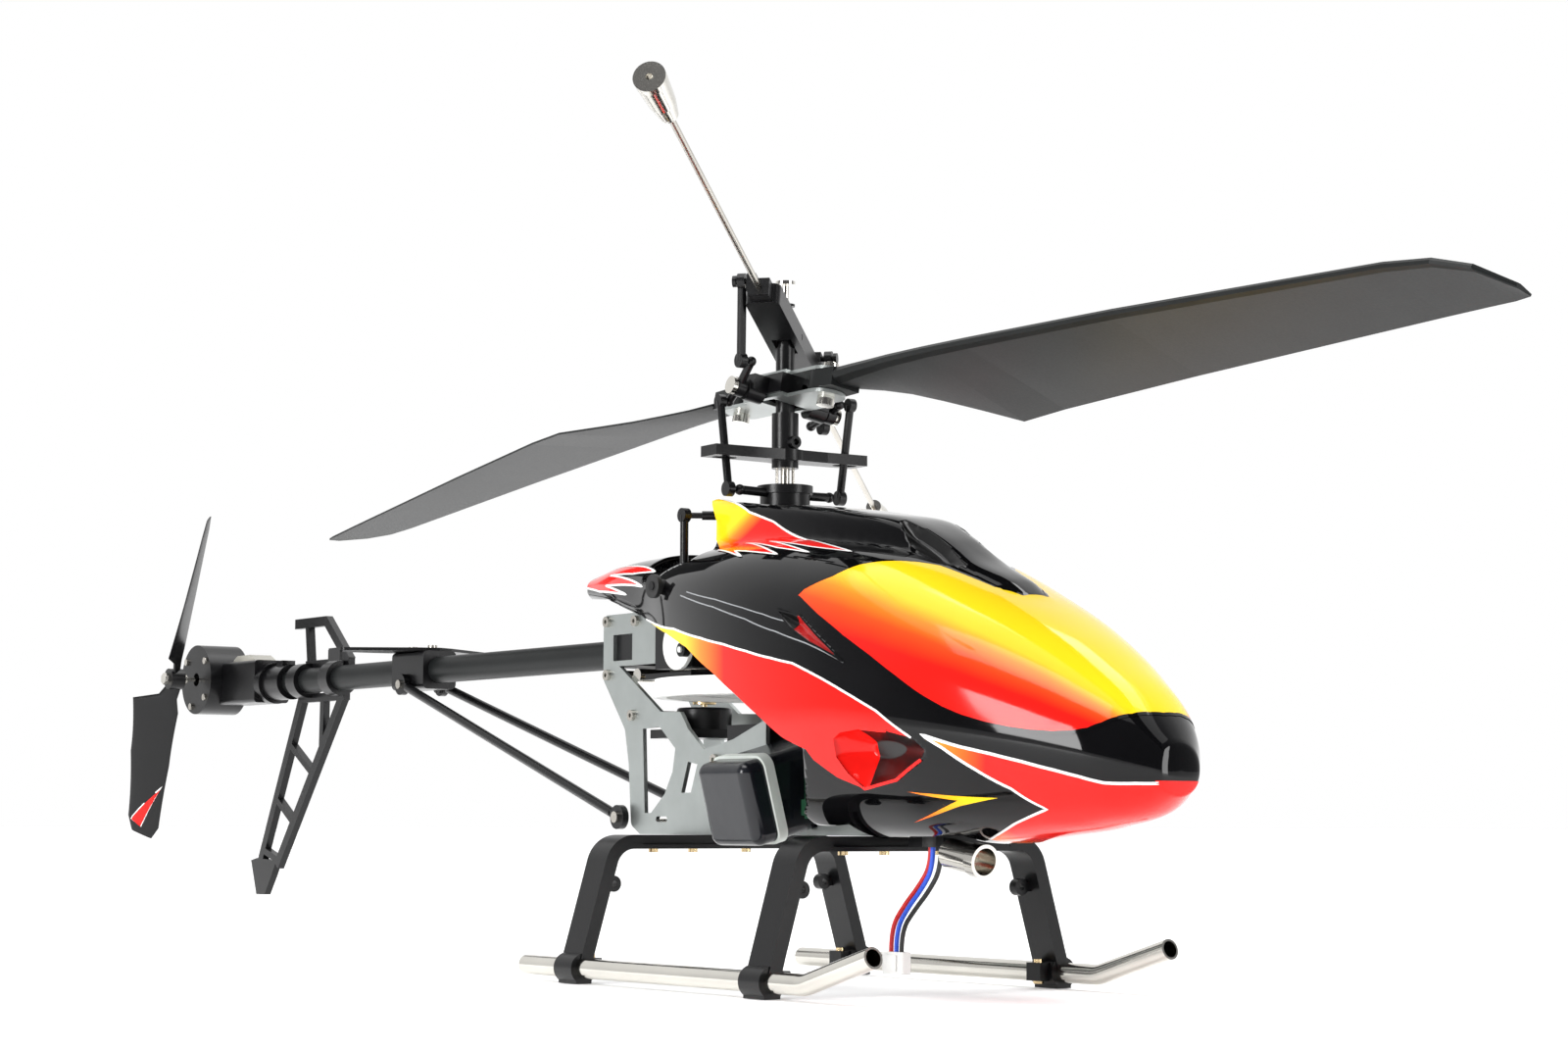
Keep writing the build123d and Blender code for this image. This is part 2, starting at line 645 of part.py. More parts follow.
# ---- rotor drive --------------------------------------------------------
def drive_gears():
    with BuildPart() as gear:
        with BuildSketch(Plane.XY.offset(gear_z)):
            Circle(gear_pitch_radius - 0.2)
            Circle(39.5, mode=Mode.SUBTRACT)
        extrude(amount=gear_face)
        with BuildSketch(Plane.XY.offset(gear_z + 1.4)):
            Circle(40)
            with PolarLocations(26, 6):
                Circle(8.5, mode=Mode.SUBTRACT)
        extrude(amount=2.4)
        with BuildSketch(Plane.XY.offset(89.0)):
            Circle(8.0)
        extrude(amount=14.0)
        with BuildSketch(Plane.XY.offset(89.0)):
            Circle(mast_radius)
        extrude(amount=14.0, mode=Mode.SUBTRACT)
    save(gear, "main_gear")
    with BuildPart() as pinion:
        with BuildSketch(Plane.XY.offset(gear_z - 0.6)):
            with Locations((motor_x, 0)):
                Circle(pinion_pitch_radius - 0.15)
        extrude(amount=gear_face + 1.2)
        with BuildSketch(Plane.XY.offset(92.6)):
            with Locations((motor_x, 0)):
                Circle(1.0)
        extrude(amount=14.8)
    save(pinion, "motor_pinion")


def mast():
    """The steel mast, its lower collar, and the swashplate's guide pins."""
    with BuildPart() as shaft:
        rod((0, 0, mast_bottom_z), (0, 0, 223.8), mast_radius)
        rod((0, 0, 72.0), (0, 0, 76.8), 3.4)
        for v in (-3.2, 3.2):
            rod(local(head, 0, v, 165.9), local(head, 0, v, 171.0), 0.5)
    save(shaft, "mast")


def hub():
    """Black sleeve and post, guide plate, and the pin that crowns the mast."""
    with BuildPart() as sleeve:
        rod((0, 0, 171.0), (0, 0, 189.6), 4.5)
        rod((3.6, 0, 179.5), (6.4, 0, 179.5), 2.1)
        rod((0, 0, 189.6), (0, 0, 211.8), 3.2)
        rod((0, 0, 211.8), (0, 0, 219.4), 2.7)
        rod(local(head, -9.6, 0, hub_z), local(head, 9.6, 0, hub_z), 1.2)
        rod(local(flybar, 0, -5.6, 0), local(flybar, 0, 5.6, 0), 1.0)
        rod((0, 0, 171.0), (0, 0, 220.0), mast_radius, mode=Mode.SUBTRACT)
        rod((4.9, 0, 179.5), (6.5, 0, 179.5), 1.1, mode=Mode.SUBTRACT)
        rod((0, 0, 223.8), (0, 0, 226.0), 2.2)
        rod((0, 0, 226.0), (0, 0, 226.8), 3.2)
    save(sleeve, "hub_sleeve")
    with BuildPart() as guide:
        with BuildSketch(head.offset(173.4)):
            Circle(6.6)
            with BuildLine():
                Polyline((-4.9, -30.2), (4.9, -30.2), (4.9, -14), (5.8, 0), (4.9, 14), (4.9, 30.2), (-4.9, 30.2),
                         (-4.9, 14), (-5.8, 0), (-4.9, -14), close=True)
            make_face()
            for side in (-1, 1):
                with Locations((side * 1.3, side * 23.2)):
                    SlotOverall(9.0, 4.8, rotation=90, mode=Mode.SUBTRACT)
            Circle(4.5, mode=Mode.SUBTRACT)
        extrude(amount=3.6)
    save(guide, "guide_plate")
    with BuildPart() as pin:
        rod((0, 0, 226.8), (0, 0, 233.4), 1.1)
        rod((0, 0, 233.4), (0, 0, 234.6), 3.3)
    save(pin, "top_pin")


# ---- blade grip ---------------------------------------------------------
lever_pivot_v = 17.6
lever_pivot_low = -3.0      # below the blade plane, in the grip's frame


def blade_grip():
    with BuildPart(grip) as body:
        Box(24, 19, 6.6)
        with Locations((0, 0, 0)):
            Box(8.2, 13.4, 30, mode=Mode.SUBTRACT)
        for side in (-1, 1):
            centre = (0, side * 12.4, -0.6)
            with Locations(centre):
                Box(9, 6.2, 5.4)
            with Locations(Location((0, side * 12.7, lever_pivot_low), (90, 0, 0))):
                Cylinder(3.6, 6.6)
        with Locations(Location((0, 0, 0), (0, 90, 0))):
            Cylinder(1.25, 40, mode=Mode.SUBTRACT)
        for side in (-1, 1):
            with Locations(Location((0, side * 12.5, lever_pivot_low), (90, 0, 0))):
                Cylinder(0.95, 9, mode=Mode.SUBTRACT)
    save(body, "grip_block")
    with BuildPart() as plates:
        for low in (3.3, -4.5):
            with BuildSketch(grip.offset(low)):
                SlotOverall(2 * bolt_reach + 12.5, 12.5)
                Rectangle(24, 17)
                Rectangle(8.6, 13.4, mode=Mode.SUBTRACT)
                with Locations((-bolt_reach, 0), (bolt_reach, 0)):
                    Circle(1.5, mode=Mode.SUBTRACT)
            extrude(amount=1.2)
    save(plates, "grip_plates")
    with BuildPart(grip) as bolts:
        for side in (-1, 1):
            with Locations((side * bolt_reach, 0, 0.4)):
                Cylinder(1.5, 13.6)
            with Locations((side * bolt_reach, 0, 5.6)):
                Cylinder(2.6, 2.2)
            with Locations((side * bolt_reach, 0, -6.1)):
                Cylinder(2.9, 3.2)
            with Locations(Location((0, side * 14.9, lever_pivot_low), (90, 0, 0))):
                Cylinder(0.95, 12)
            with Locations(Location((0, side * 21.0, lever_pivot_low), (90, 0, 0))):
                Cylinder(3.0, 1.6)
    save(bolts, "grip_bolts")


def rotor_blade(name, turn, droop, bend):
    """A blade with a round root, a wide curved shoulder and a rounded tip; droop is how far the tip hangs."""
    frame = Plane(grip.location * Location((0, 0, 0), (0, 0, turn)))
    stations = (
        (36.0, -6.0, 6.6, 5.4, 10), (46.0, -6.3, 9.5, 4.8, 13), (56.0, -6.6, 14.0, 4.4, 14),
        (66.0, -7.0, 20.5, 4.0, 15), (76.0, -7.2, 28.5, 3.8, 15), (87.0, -7.4, 38.0, 3.6, 15),
        (110.0, -7.6, 36.0, 3.4, 14), (180.0, -7.8, 29.5, 3.0, 14), (290.0, -8.0, 18.5, 2.6, 14),
        (306.0, -6.6, 16.8, 2.4, 14), (316.0, -1.5, 15.8, 2.0, 14), (rotor_radius, 9.0, 14.6, 1.6, 14),
    )
    with BuildPart() as blade:
        for reach, lead, trail, thick, pitch in stations:
            drop = droop * ((reach - bolt_reach) / (rotor_radius - bolt_reach)) ** bend
            chord_dir = frame.y_dir * cos(radians(pitch)) - frame.z_dir * sin(radians(pitch))
            with BuildSketch(Plane(origin=local(frame, reach, 0, -drop), x_dir=chord_dir, z_dir=frame.x_dir)):
                with BuildLine():
                    nose = thick / 2
                    Polyline((lead, 0), (lead + nose * 0.4, nose * 0.8), (lead + nose * 1.6, nose),
                             (trail, 0.35), (trail, -0.35), (lead + nose * 1.6, -nose * 0.9),
                             (lead + nose * 0.4, -nose * 0.7), close=True)
                make_face()
        loft(ruled=True)
        with BuildSketch(frame.offset(-3.1)):
            with Locations((bolt_reach, 0)):
                Circle(6.4)
            with BuildLine():
                Polyline((bolt_reach, -6.4), (36.5, -5.6), (36.5, 5.6), (bolt_reach, 6.4), close=True)
            make_face()
        extrude(amount=6.2)
        with BuildSketch(frame.offset(-4)):
            with Locations((bolt_reach, 0)):
                Circle(1.56)
        extrude(amount=8, mode=Mode.SUBTRACT)
    save(blade, name)


# ---- mixing levers, flybar and links -------------------------------------
upper_arm = 11.0
lower_arm = 7.2
arm_spread = 171.7          # degrees between a lever's two arms
lever_angles = {-1: 44.0, 1: -14.0}
upper_link_low_v = 22.6
upper_link_length = 25.2
lower_link_top_v = 22.0
lower_link_foot = (2.0, 23.6, 162.6)
carrier_arm = (31.6, 7.84, 6.2)


def lever_tip(side, arm):
    """The end of a lever's arm, level with the lever's own pivot plane."""
    pivot = local(grip, 0, side * lever_pivot_v, lever_pivot_low)
    angle = radians(lever_angles[side] + (0 if arm == "upper" else arm_spread))
    reach = upper_arm if arm == "upper" else lower_arm
    return pivot + head.x_dir * (-side * reach * cos(angle)) + Vector(0, 0, reach * sin(angle))


def mixing_lever(name, side):
    """A bell-crank that mixes the motion of the flybar and the swashplate."""
    pivot = local(grip, 0, side * lever_pivot_v, lever_pivot_low)
    out = grip.y_dir * side
    with BuildPart() as lever:
        rod(pivot - out * 0.8, pivot + out * 2.4, 3.1)
        for arm in ("upper", "lower"):
            tip = lever_tip(side, arm) + out * 0.8
            rod(pivot + out * 0.8, tip, 1.4)
            ball(tip, 1.7)
        rod(pivot - out * 2, pivot + out * 4, 1.0, mode=Mode.SUBTRACT)
    save(lever, name)


def flybar_set():
    half_length = flybar_reach
    with BuildPart(flybar) as carrier:
        Box(70, 11.4, 6.8)
        fillet(carrier.edges().filter_by(lambda e: e.length > 6 and e.length < 7), 2.4)
        Box(11.2, 6.6, 8, mode=Mode.SUBTRACT)
        for end in (-1, 1):
            with Locations((end * 20.5, 0, 2.6)):
                Box(18, 6.4, 2.4, mode=Mode.SUBTRACT)
            with Locations((end * 36, 0, 0)):
                Box(8, 7, 6)
            with Locations((end * carrier_arm[0], end * -4.2, 4.6)):
                Box(6, 3, 6)
            with Locations(Location((end * carrier_arm[0], end * -7.6, carrier_arm[2]), (90, 0, 0))):
                Cylinder(1.0, 6.0)
            with Locations(Location((end * carrier_arm[0], end * -10.4, carrier_arm[2]), (90, 0, 0))):
                Cylinder(1.9, 1.2)
        with Locations(Location((0, 0, 0), (0, 90, 0))):
            Cylinder(flybar_rod_radius, 90, mode=Mode.SUBTRACT)
        with Locations(Location((0, 0, 0), (90, 0, 0))):
            Cylinder(1.05, 20, mode=Mode.SUBTRACT)
    save(carrier, "flybar_carrier")
    with BuildPart() as rods:
        for end in (-1, 1):
            rod(local(flybar, end * 14, 0, 0), local(flybar, end * (half_length - 1.5), 0, 0), flybar_rod_radius)
    save(rods, "flybar_rods")
    with BuildPart() as weights:
        for end in (-1, 1):
            inner = half_length - weight_length
            sizes = ((inner, 2.9), (inner + 1.2, 3.1), (inner + 8, 4.1), (half_length - 2.4, 4.9), (half_length, 4.9))
            sections = []
            for reach, radius in sizes:
                point = local(flybar, end * reach, 0, 0)
                with BuildSketch(Plane(origin=point, z_dir=flybar.x_dir * end)) as section:
                    Circle(radius)
                sections.append(section.sketch)
            loft(sections, ruled=True)
            rod(local(flybar, end * (inner - 1), 0, 0), local(flybar, end * (half_length + 1), 0, 0),
                flybar_rod_radius, mode=Mode.SUBTRACT)
    save(weights, "flybar_weights")


def upper_link(name, side):
    """From the flybar carrier's arm down beside the lever's upper ball."""
    end = -side
    axis = flybar.y_dir
    top = local(flybar, end * carrier_arm[0], end * -(carrier_arm[1] + 0.1), carrier_arm[2])
    tip = lever_tip(side, "upper")
    foot = local(head, head.to_local_coords(tip).X, side * upper_link_low_v, top.Z - upper_link_length)
    run = (foot - top).normalized()
    with BuildPart() as link:
        rod(top + run * 2.2, foot, 1.5)
        rod(top - axis * 1.3, top + axis * 1.3, 2.6)
        rod(foot - head.y_dir * 1.2, foot + head.y_dir * 1.2, 2.5)
        rod(top - axis * 3, top + axis * 3, 1.05, mode=Mode.SUBTRACT)
    save(link, name)


def lower_links():
    """Rods that carry the swashplate's motion through the guide slots."""
    u, v, z = lower_link_foot
    with BuildPart() as links:
        for side in (-1, 1):
            tip = head.to_local_coords(lever_tip(side, "lower"))
            top = local(head, tip.X, side * lower_link_top_v, tip.Z)
            foot = local(head, -side * u, side * v, z)
            rod(top, foot, 1.35)
            rod(top - head.y_dir * 1.2, top + head.y_dir * 1.2, 2.3)
            rod(foot - head.y_dir * 1.3, foot + head.y_dir * 1.3, 2.5)
    save(links, "lower_links")


# ---- swashplate and servo linkage ----------------------------------------
def swashplate():
    with BuildPart() as centre:
        ball((0, 0, swash_z - 2), 4.6)
        block((-6, 6), (-6, 6), (swash_z + 1.4, swash_z + 4), mode=Mode.SUBTRACT)
        block((-6, 6), (-6, 6), (swash_z - 8, swash_z - 5.4), mode=Mode.SUBTRACT)
        rod((0, 0, swash_z - 8), (0, 0, swash_z + 4), 2.2, mode=Mode.SUBTRACT)
    save(centre, "swash_ball")
    with BuildPart() as lower:
        with BuildSketch(Plane.XY.offset(swash_z - 5.6)):
            Circle(11)
        extrude(amount=5.3)
        fillet(lower.edges(), 0.6)
        for azimuth in arm_azimuths:
            rod(polar(9, azimuth, swash_z - 3), polar(arm_reach - 2.6, azimuth, swash_z - 3), 1.5)
            rod(polar(arm_reach - 3, azimuth, swash_z - 3), polar(arm_reach + 1.2, azimuth, swash_z - 3), 1.0)
        rod((0, 0, swash_z - 8), (0, 0, swash_z), 4.95, mode=Mode.SUBTRACT)
    save(lower, "swash_lower")
    with BuildPart() as upper:
        with BuildSketch(Plane.XY.offset(swash_z)):
            Circle(8.4)
        extrude(amount=4.2)
        with BuildSketch(Plane.XY.offset(swash_z + 4.2)):
            Circle(9.4)
        extrude(amount=2.8)
        for side in (-1, 1):
            root = local(head, -side * 1.0, side * 7.4, swash_z + 4.4)
            tip = local(head, -side * 2.0, side * 19.2, swash_z + 4.6)
            rod(root, tip, 1.5)
            ball(tip, 1.8)
        rod((0, 0, swash_z - 1), (0, 0, swash_z + 8), 5.0, mode=Mode.SUBTRACT)
    save(upper, "swash_upper")


def servo_linkage(word, side):
    """A round horn on the servo, and the rod from it to the swashplate."""
    x, z = servo_axis
    pin_x, pin_z = x + 7.1, z - 2.0
    ball_z = swash_z - 3
    with BuildPart() as horn:
        rod((x, side * 25.65, z), (x, side * 27.0, z), 8.4)
        rod((pin_x, side * 27.0, pin_z), (pin_x, side * 30.8, pin_z), 1.0)
    save(horn, f"servo_horn_{word}")
    with BuildPart() as link:
        rod((pin_x, side * 28.9, pin_z), (pin_x, side * 28.9, ball_z), 1.4)
        for height in (pin_z, ball_z):
            rod((pin_x, side * 27.6, height), (pin_x, side * 30.2, height), 2.4)
        rod((pin_x, side * 27, pin_z), (pin_x, side * 31, pin_z), 1.05, mode=Mode.SUBTRACT)
    save(link, f"servo_link_{word}")


frame_plates()
frame_spacers()
frame_screws()
frame_blocks()
mast_bearings()
main_motor()
servos()
receiver_board()
belly_tray()
for word, station in zip(("rear", "front"), bow_stations):
    landing_bow(f"landing_bow_{word}", station)
skid_tubes()
landing_gear_screws()
battery()
canopy()
rubber_grommets()
belly_pipe()
for name, route in wire_routes.items():
    wire(name, route)
wire_connector()
tail_boom()
boom_supports()
stabiliser()
vertical_fin()
tail_unit()
tail_fasteners()
tail_rotor()
drive_gears()
mast()
hub()
blade_grip()
rotor_blade("rotor_blade_front", 0, front_blade_droop, 2.0)
rotor_blade("rotor_blade_rear", 180, rear_blade_droop, 1.1)
flybar_set()
lower_links()
swashplate()
for word, side in (("starboard", -1), ("port", 1)):
    mixing_lever(f"mixing_lever_{word}", side)
    upper_link(f"upper_link_{word}", side)
    servo_linkage(word, side)
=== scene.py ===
import bpy
import bmesh
import json
import math
import numpy as np
from mathutils import Matrix, Vector


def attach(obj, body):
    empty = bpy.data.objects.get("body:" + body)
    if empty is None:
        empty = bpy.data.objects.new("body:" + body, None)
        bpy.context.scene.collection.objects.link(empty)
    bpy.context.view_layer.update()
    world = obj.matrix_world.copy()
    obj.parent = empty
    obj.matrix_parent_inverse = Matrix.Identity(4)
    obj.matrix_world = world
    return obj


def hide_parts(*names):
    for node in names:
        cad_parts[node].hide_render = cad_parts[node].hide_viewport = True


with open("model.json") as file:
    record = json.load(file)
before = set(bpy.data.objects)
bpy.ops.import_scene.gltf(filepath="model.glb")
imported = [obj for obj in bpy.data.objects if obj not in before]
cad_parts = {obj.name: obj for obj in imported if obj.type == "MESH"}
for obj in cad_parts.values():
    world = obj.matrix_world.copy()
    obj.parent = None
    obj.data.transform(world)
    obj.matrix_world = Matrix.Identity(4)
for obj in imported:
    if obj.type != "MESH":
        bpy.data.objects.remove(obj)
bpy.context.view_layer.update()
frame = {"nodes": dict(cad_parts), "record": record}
nodes = frame["nodes"]
scene = bpy.context.scene
MM = 0.001


# ---- camera and colour view ----------------------------------------------
def look_along(yaw, pitch, roll):
    """Rotation of a camera that looks along a yaw and pitch, given in radians."""
    forward = Vector((-math.sin(yaw) * math.cos(pitch), math.cos(yaw) * math.cos(pitch), math.sin(pitch)))
    right = Vector((math.cos(yaw), math.sin(yaw), 0))
    up = right.cross(forward)
    side = right * math.cos(roll) + up * math.sin(roll)
    top = up * math.cos(roll) - right * math.sin(roll)
    rotation = Matrix((side, top, -forward)).transposed()
    return rotation.to_euler()


camera_data = bpy.data.cameras.new("camera")
camera_data.sensor_width = 36.0
camera_data.lens = 69.17
camera_data.clip_end = 50
camera = bpy.data.objects.new("camera", camera_data)
camera.location = (0.8181, -0.58402, 0.0521)
camera.rotation_euler = look_along(0.951124, 0.0991136, 0.00248696)
scene.collection.objects.link(camera)
scene.camera = camera
scene.view_settings.view_transform = "Standard"
scene.view_settings.look = "None"
scene.view_settings.exposure = 0.0


def node_tree(material):
    material.use_nodes = True
    tree = material.node_tree
    shader = next(n for n in tree.nodes if n.type == "BSDF_PRINCIPLED")
    return tree, shader


def add(tree, kind, **values):
    node = tree.nodes.new(kind)
    for key, value in values.items():
        if hasattr(node, key):
            setattr(node, key, value)
        else:
            node.inputs[key.replace("_", " ")].default_value = value
    return node


def ramp(tree, stops):
    node = tree.nodes.new("ShaderNodeValToRGB")
    elements = node.color_ramp.elements
    while len(elements) < len(stops):
        elements.new(0.5)
    for element, (place, colour) in zip(elements, stops):
        element.position = place
        element.color = (*colour, 1) if len(colour) == 3 else colour
    return node


def material(name, colour, roughness=0.4, metallic=0.0, spread=0.12, scale=900.0, bump=0.06, coat=0.0,
             shade=0.12, specular=0.5, transmission=0.0):
    """A procedural finish: fine grain, roughness that varies, and slight shading of colour."""
    result = bpy.data.materials.new(name)
    tree, shader = node_tree(result)
    link = tree.links.new
    shader.inputs["Metallic"].default_value = metallic
    shader.inputs["Coat Weight"].default_value = coat
    shader.inputs["Coat Roughness"].default_value = 0.04
    shader.inputs["Specular IOR Level"].default_value = specular
    shader.inputs["Transmission Weight"].default_value = transmission
    place = add(tree, "ShaderNodeTexCoord")
    broad = add(tree, "ShaderNodeTexNoise", Scale=scale * 0.05, Detail=3.0)
    fine = add(tree, "ShaderNodeTexNoise", Scale=scale, Detail=4.0)
    link(place.outputs["Object"], broad.inputs["Vector"])
    link(place.outputs["Object"], fine.inputs["Vector"])
    dark = tuple(c * (1 - shade) for c in colour)
    light = tuple(min(1.0, c * (1 + shade)) for c in colour)
    tint = ramp(tree, [(0.3, dark), (0.7, light)])
    link(broad.outputs["Fac"], tint.inputs["Fac"])
    link(tint.outputs["Color"], shader.inputs["Base Color"])
    rough = add(tree, "ShaderNodeMapRange")
    rough.inputs["To Min"].default_value = max(0.02, roughness * (1 - spread))
    rough.inputs["To Max"].default_value = min(1.0, roughness * (1 + spread))
    link(fine.outputs["Fac"], rough.inputs["Value"])
    link(rough.outputs["Result"], shader.inputs["Roughness"])
    relief = add(tree, "ShaderNodeBump", Strength=bump, Distance=0.0002)
    link(fine.outputs["Fac"], relief.inputs["Height"])
    link(relief.outputs["Normal"], shader.inputs["Normal"])
    return result


def graded(name, start, end, stops, roughness=0.09, coat=0.06, axis_height=None):
    """A glossy print whose colour runs between two points, or with the angle up from the side in radians."""
    result = bpy.data.materials.new(name)
    tree, shader = node_tree(result)
    link = tree.links.new
    shader.inputs["Coat Weight"].default_value = coat
    shader.inputs["Coat Roughness"].default_value = 0.05
    shader.inputs["Specular IOR Level"].default_value = 0.2
    start, end = Vector(start) * MM, Vector(end) * MM
    run = end - start
    place = add(tree, "ShaderNodeTexCoord")
    shift = add(tree, "ShaderNodeVectorMath", operation="SUBTRACT")
    shift.inputs[1].default_value = start
    apart = add(tree, "ShaderNodeSeparateXYZ")
    join = add(tree, "ShaderNodeCombineXYZ")
    dot = add(tree, "ShaderNodeVectorMath", operation="DOT_PRODUCT")
    dot.inputs[1].default_value = run / run.length_squared
    link(place.outputs["Object"], apart.inputs[0])
    flip = add(tree, "ShaderNodeMath", operation="ABSOLUTE")
    back = add(tree, "ShaderNodeMath", operation="MULTIPLY")
    back.inputs[1].default_value = -1.0
    if axis_height is not None:
        height = add(tree, "ShaderNodeMath", operation="MULTIPLY_ADD")
        height.inputs[1].default_value = -axis_height[1]
        height.inputs[2].default_value = -axis_height[0] * MM
        rise = add(tree, "ShaderNodeMath", operation="ADD")
        turn = add(tree, "ShaderNodeMath", operation="ARCTAN2")
        link(apart.outputs["X"], height.inputs[0])
        link(apart.outputs["Z"], rise.inputs[0])
        link(height.outputs[0], rise.inputs[1])
        link(rise.outputs[0], turn.inputs[0])
        link(flip.outputs[0], turn.inputs[1])
    link(apart.outputs["Y"], flip.inputs[0])
    link(flip.outputs[0], back.inputs[0])
    link(apart.outputs["X"], join.inputs["X"])
    link(back.outputs[0], join.inputs["Y"])
    link(apart.outputs["Z"], join.inputs["Z"])
    link(join.outputs[0], shift.inputs[0])
    link(shift.outputs[0], dot.inputs[0])
    noise = add(tree, "ShaderNodeTexNoise", Scale=30.0, Detail=2.0)
    link(place.outputs["Object"], noise.inputs["Vector"])
    wander = add(tree, "ShaderNodeMath", operation="MULTIPLY_ADD")
    wander.inputs[1].default_value = 0.06
    link(noise.outputs["Fac"], wander.inputs[0])
    link(dot.outputs["Value"] if axis_height is None else turn.outputs[0], wander.inputs[2])
    colours = ramp(tree, stops)
    link(wander.outputs[0], colours.inputs["Fac"])
    link(colours.outputs["Color"], shader.inputs["Base Color"])
    fine = add(tree, "ShaderNodeTexNoise", Scale=700.0, Detail=2.0)
    link(place.outputs["Object"], fine.inputs["Vector"])
    rough = add(tree, "ShaderNodeMapRange")
    rough.inputs["To Min"].default_value = roughness * 0.85
    rough.inputs["To Max"].default_value = roughness * 1.15
    link(fine.outputs["Fac"], rough.inputs["Value"])
    link(rough.outputs["Result"], shader.inputs["Roughness"])
    return result


RED = (0.80, 0.010, 0.007)
ORANGE = (0.92, 0.20, 0.012)
YELLOW = (0.93, 0.62, 0.012)
finishes = {
    "canopy_red_black": material("gloss black", (0.0022, 0.0022, 0.0026), 0.05, coat=0.1, bump=0.0,
                                 shade=0.2, specular=0.2),
    "black_plastic": material("black plastic", (0.004, 0.004, 0.0045), 0.3, bump=0.12, scale=1600,
                              specular=0.28),
    "alloy": material("satin alloy", (0.36, 0.385, 0.375), 0.36, metallic=0.85, bump=0.05,
                      scale=2400, shade=0.05),
    "polished": material("polished metal", (0.66, 0.64, 0.59), 0.14, metallic=1.0, bump=0.004, shade=0.04),
    "steel": material("nickel steel", (0.50, 0.475, 0.43), 0.24, metallic=1.0, bump=0.004, shade=0.08),
    "white_plastic": material("white plastic", (0.82, 0.82, 0.80), 0.35, bump=0.05, shade=0.03),
    "shrink": material("shrink wrap", (0.008, 0.009, 0.012), 0.22, coat=0.2, bump=1.0, scale=110,
                       shade=0.2, specular=0.3),
    "strap": material("rubber strap", (0.62, 0.66, 0.62), 0.55, bump=0.15, scale=1800, shade=0.06),
    "blade_black": material("blade plastic", (0.008, 0.009, 0.009), 0.42, bump=0.06, scale=1200,
                            shade=0.15, specular=0.16),
    "brass": material("brass", (0.72, 0.56, 0.32), 0.24, metallic=1.0, bump=0.01),
    "rubber": material("rubber", (0.008, 0.008, 0.008), 0.6, bump=0.15),
    "red_wire": material("red wire", (0.62, 0.01, 0.01), 0.32, bump=0.05),
    "blue_wire": material("blue wire", (0.02, 0.10, 0.72), 0.32, bump=0.05),
    "black_wire": material("black wire", (0.006, 0.006, 0.007), 0.32, bump=0.05),
    "board": material("circuit board", (0.004, 0.05, 0.02), 0.35, bump=0.2, scale=500),
    "lens": material("clear lens", (0.72, 0.70, 0.62), 0.2, transmission=0.5),
}
slots_of = {entry["node"]: entry["material_slot"] for entry in frame["record"]["subparts"]}
for name, thing in nodes.items():
    finish = finishes[slots_of[name]]
    for index in range(max(1, len(thing.material_slots))):
        if index < len(thing.material_slots):
            thing.material_slots[index].material = finish
        else:
            thing.data.materials.append(finish)

# Mid grey for the lines along the canopy's grooves: a painted highlight, the light caught by the groove
# edges on the gloss black.
groove_highlight = material("painted groove highlight", (0.25, 0.26, 0.27), 0.3, bump=0.0, shade=0.05)
white = material("white print", (0.85, 0.85, 0.84), 0.25, bump=0.0, shade=0.02)


# ---- canopy ---------------------------------------------------------------
# Stations of the shell and of its raised deck, in mm: x, half width, bottom, top and roundness.
SHELL = [
    (-110, 9.5, 132, 141.5, 2.4), (-78, 20, 124, 144.5, 2.6), (-44, 28.5, 112, 145, 2.8),
    (-10, 39.6, 88, 145, 3.0), (24, 46.6, 62, 145.5, 2.9), (56, 48.5, 47.5, 142.5, 2.8),
    (88, 47, 46.4, 136.5, 2.6), (118, 42.5, 46.6, 125, 2.4), (144, 34.5, 48.6, 113, 2.3),
    (166, 25.5, 51.5, 99.8, 2.2), (182, 16.5, 55.5, 87, 2.2), (191, 8, 60.5, 75.5, 2.2),
]
DECK = [
    (-16, 21, 138, 161.6, 7.0), (8, 21.3, 138, 158.8, 6.5), (32, 20.6, 137, 155.4, 6.0),
    (56, 18.4, 135, 151.6, 5.0), (78, 15, 131, 147.2, 4.0), (92, 12.4, 126, 141, 3.4),
    (106, 10.2, 120, 132.5, 3.0), (122, 7.6, 114, 125.2, 3.0), (138, 5, 106, 114.5, 3.0),
]


def smooth(table, x, column):
    """Smooth curve through one column of the stations."""
    xs = np.array([row[0] for row in table], float)
    ys = np.array([row[column] for row in table], float)
    slope = np.gradient(ys, xs)
    x = np.clip(x, xs[0], xs[-1])
    i = np.clip(np.searchsorted(xs, x, side="right") - 1, 0, len(xs) - 2)
    h = xs[i + 1] - xs[i]
    t = (x - xs[i]) / h
    return ((2 * t**3 - 3 * t**2 + 1) * ys[i] + (t**3 - 2 * t**2 + t) * h * slope[i]
            + (-2 * t**3 + 3 * t**2) * ys[i + 1] + (t**3 - t**2) * h * slope[i + 1])


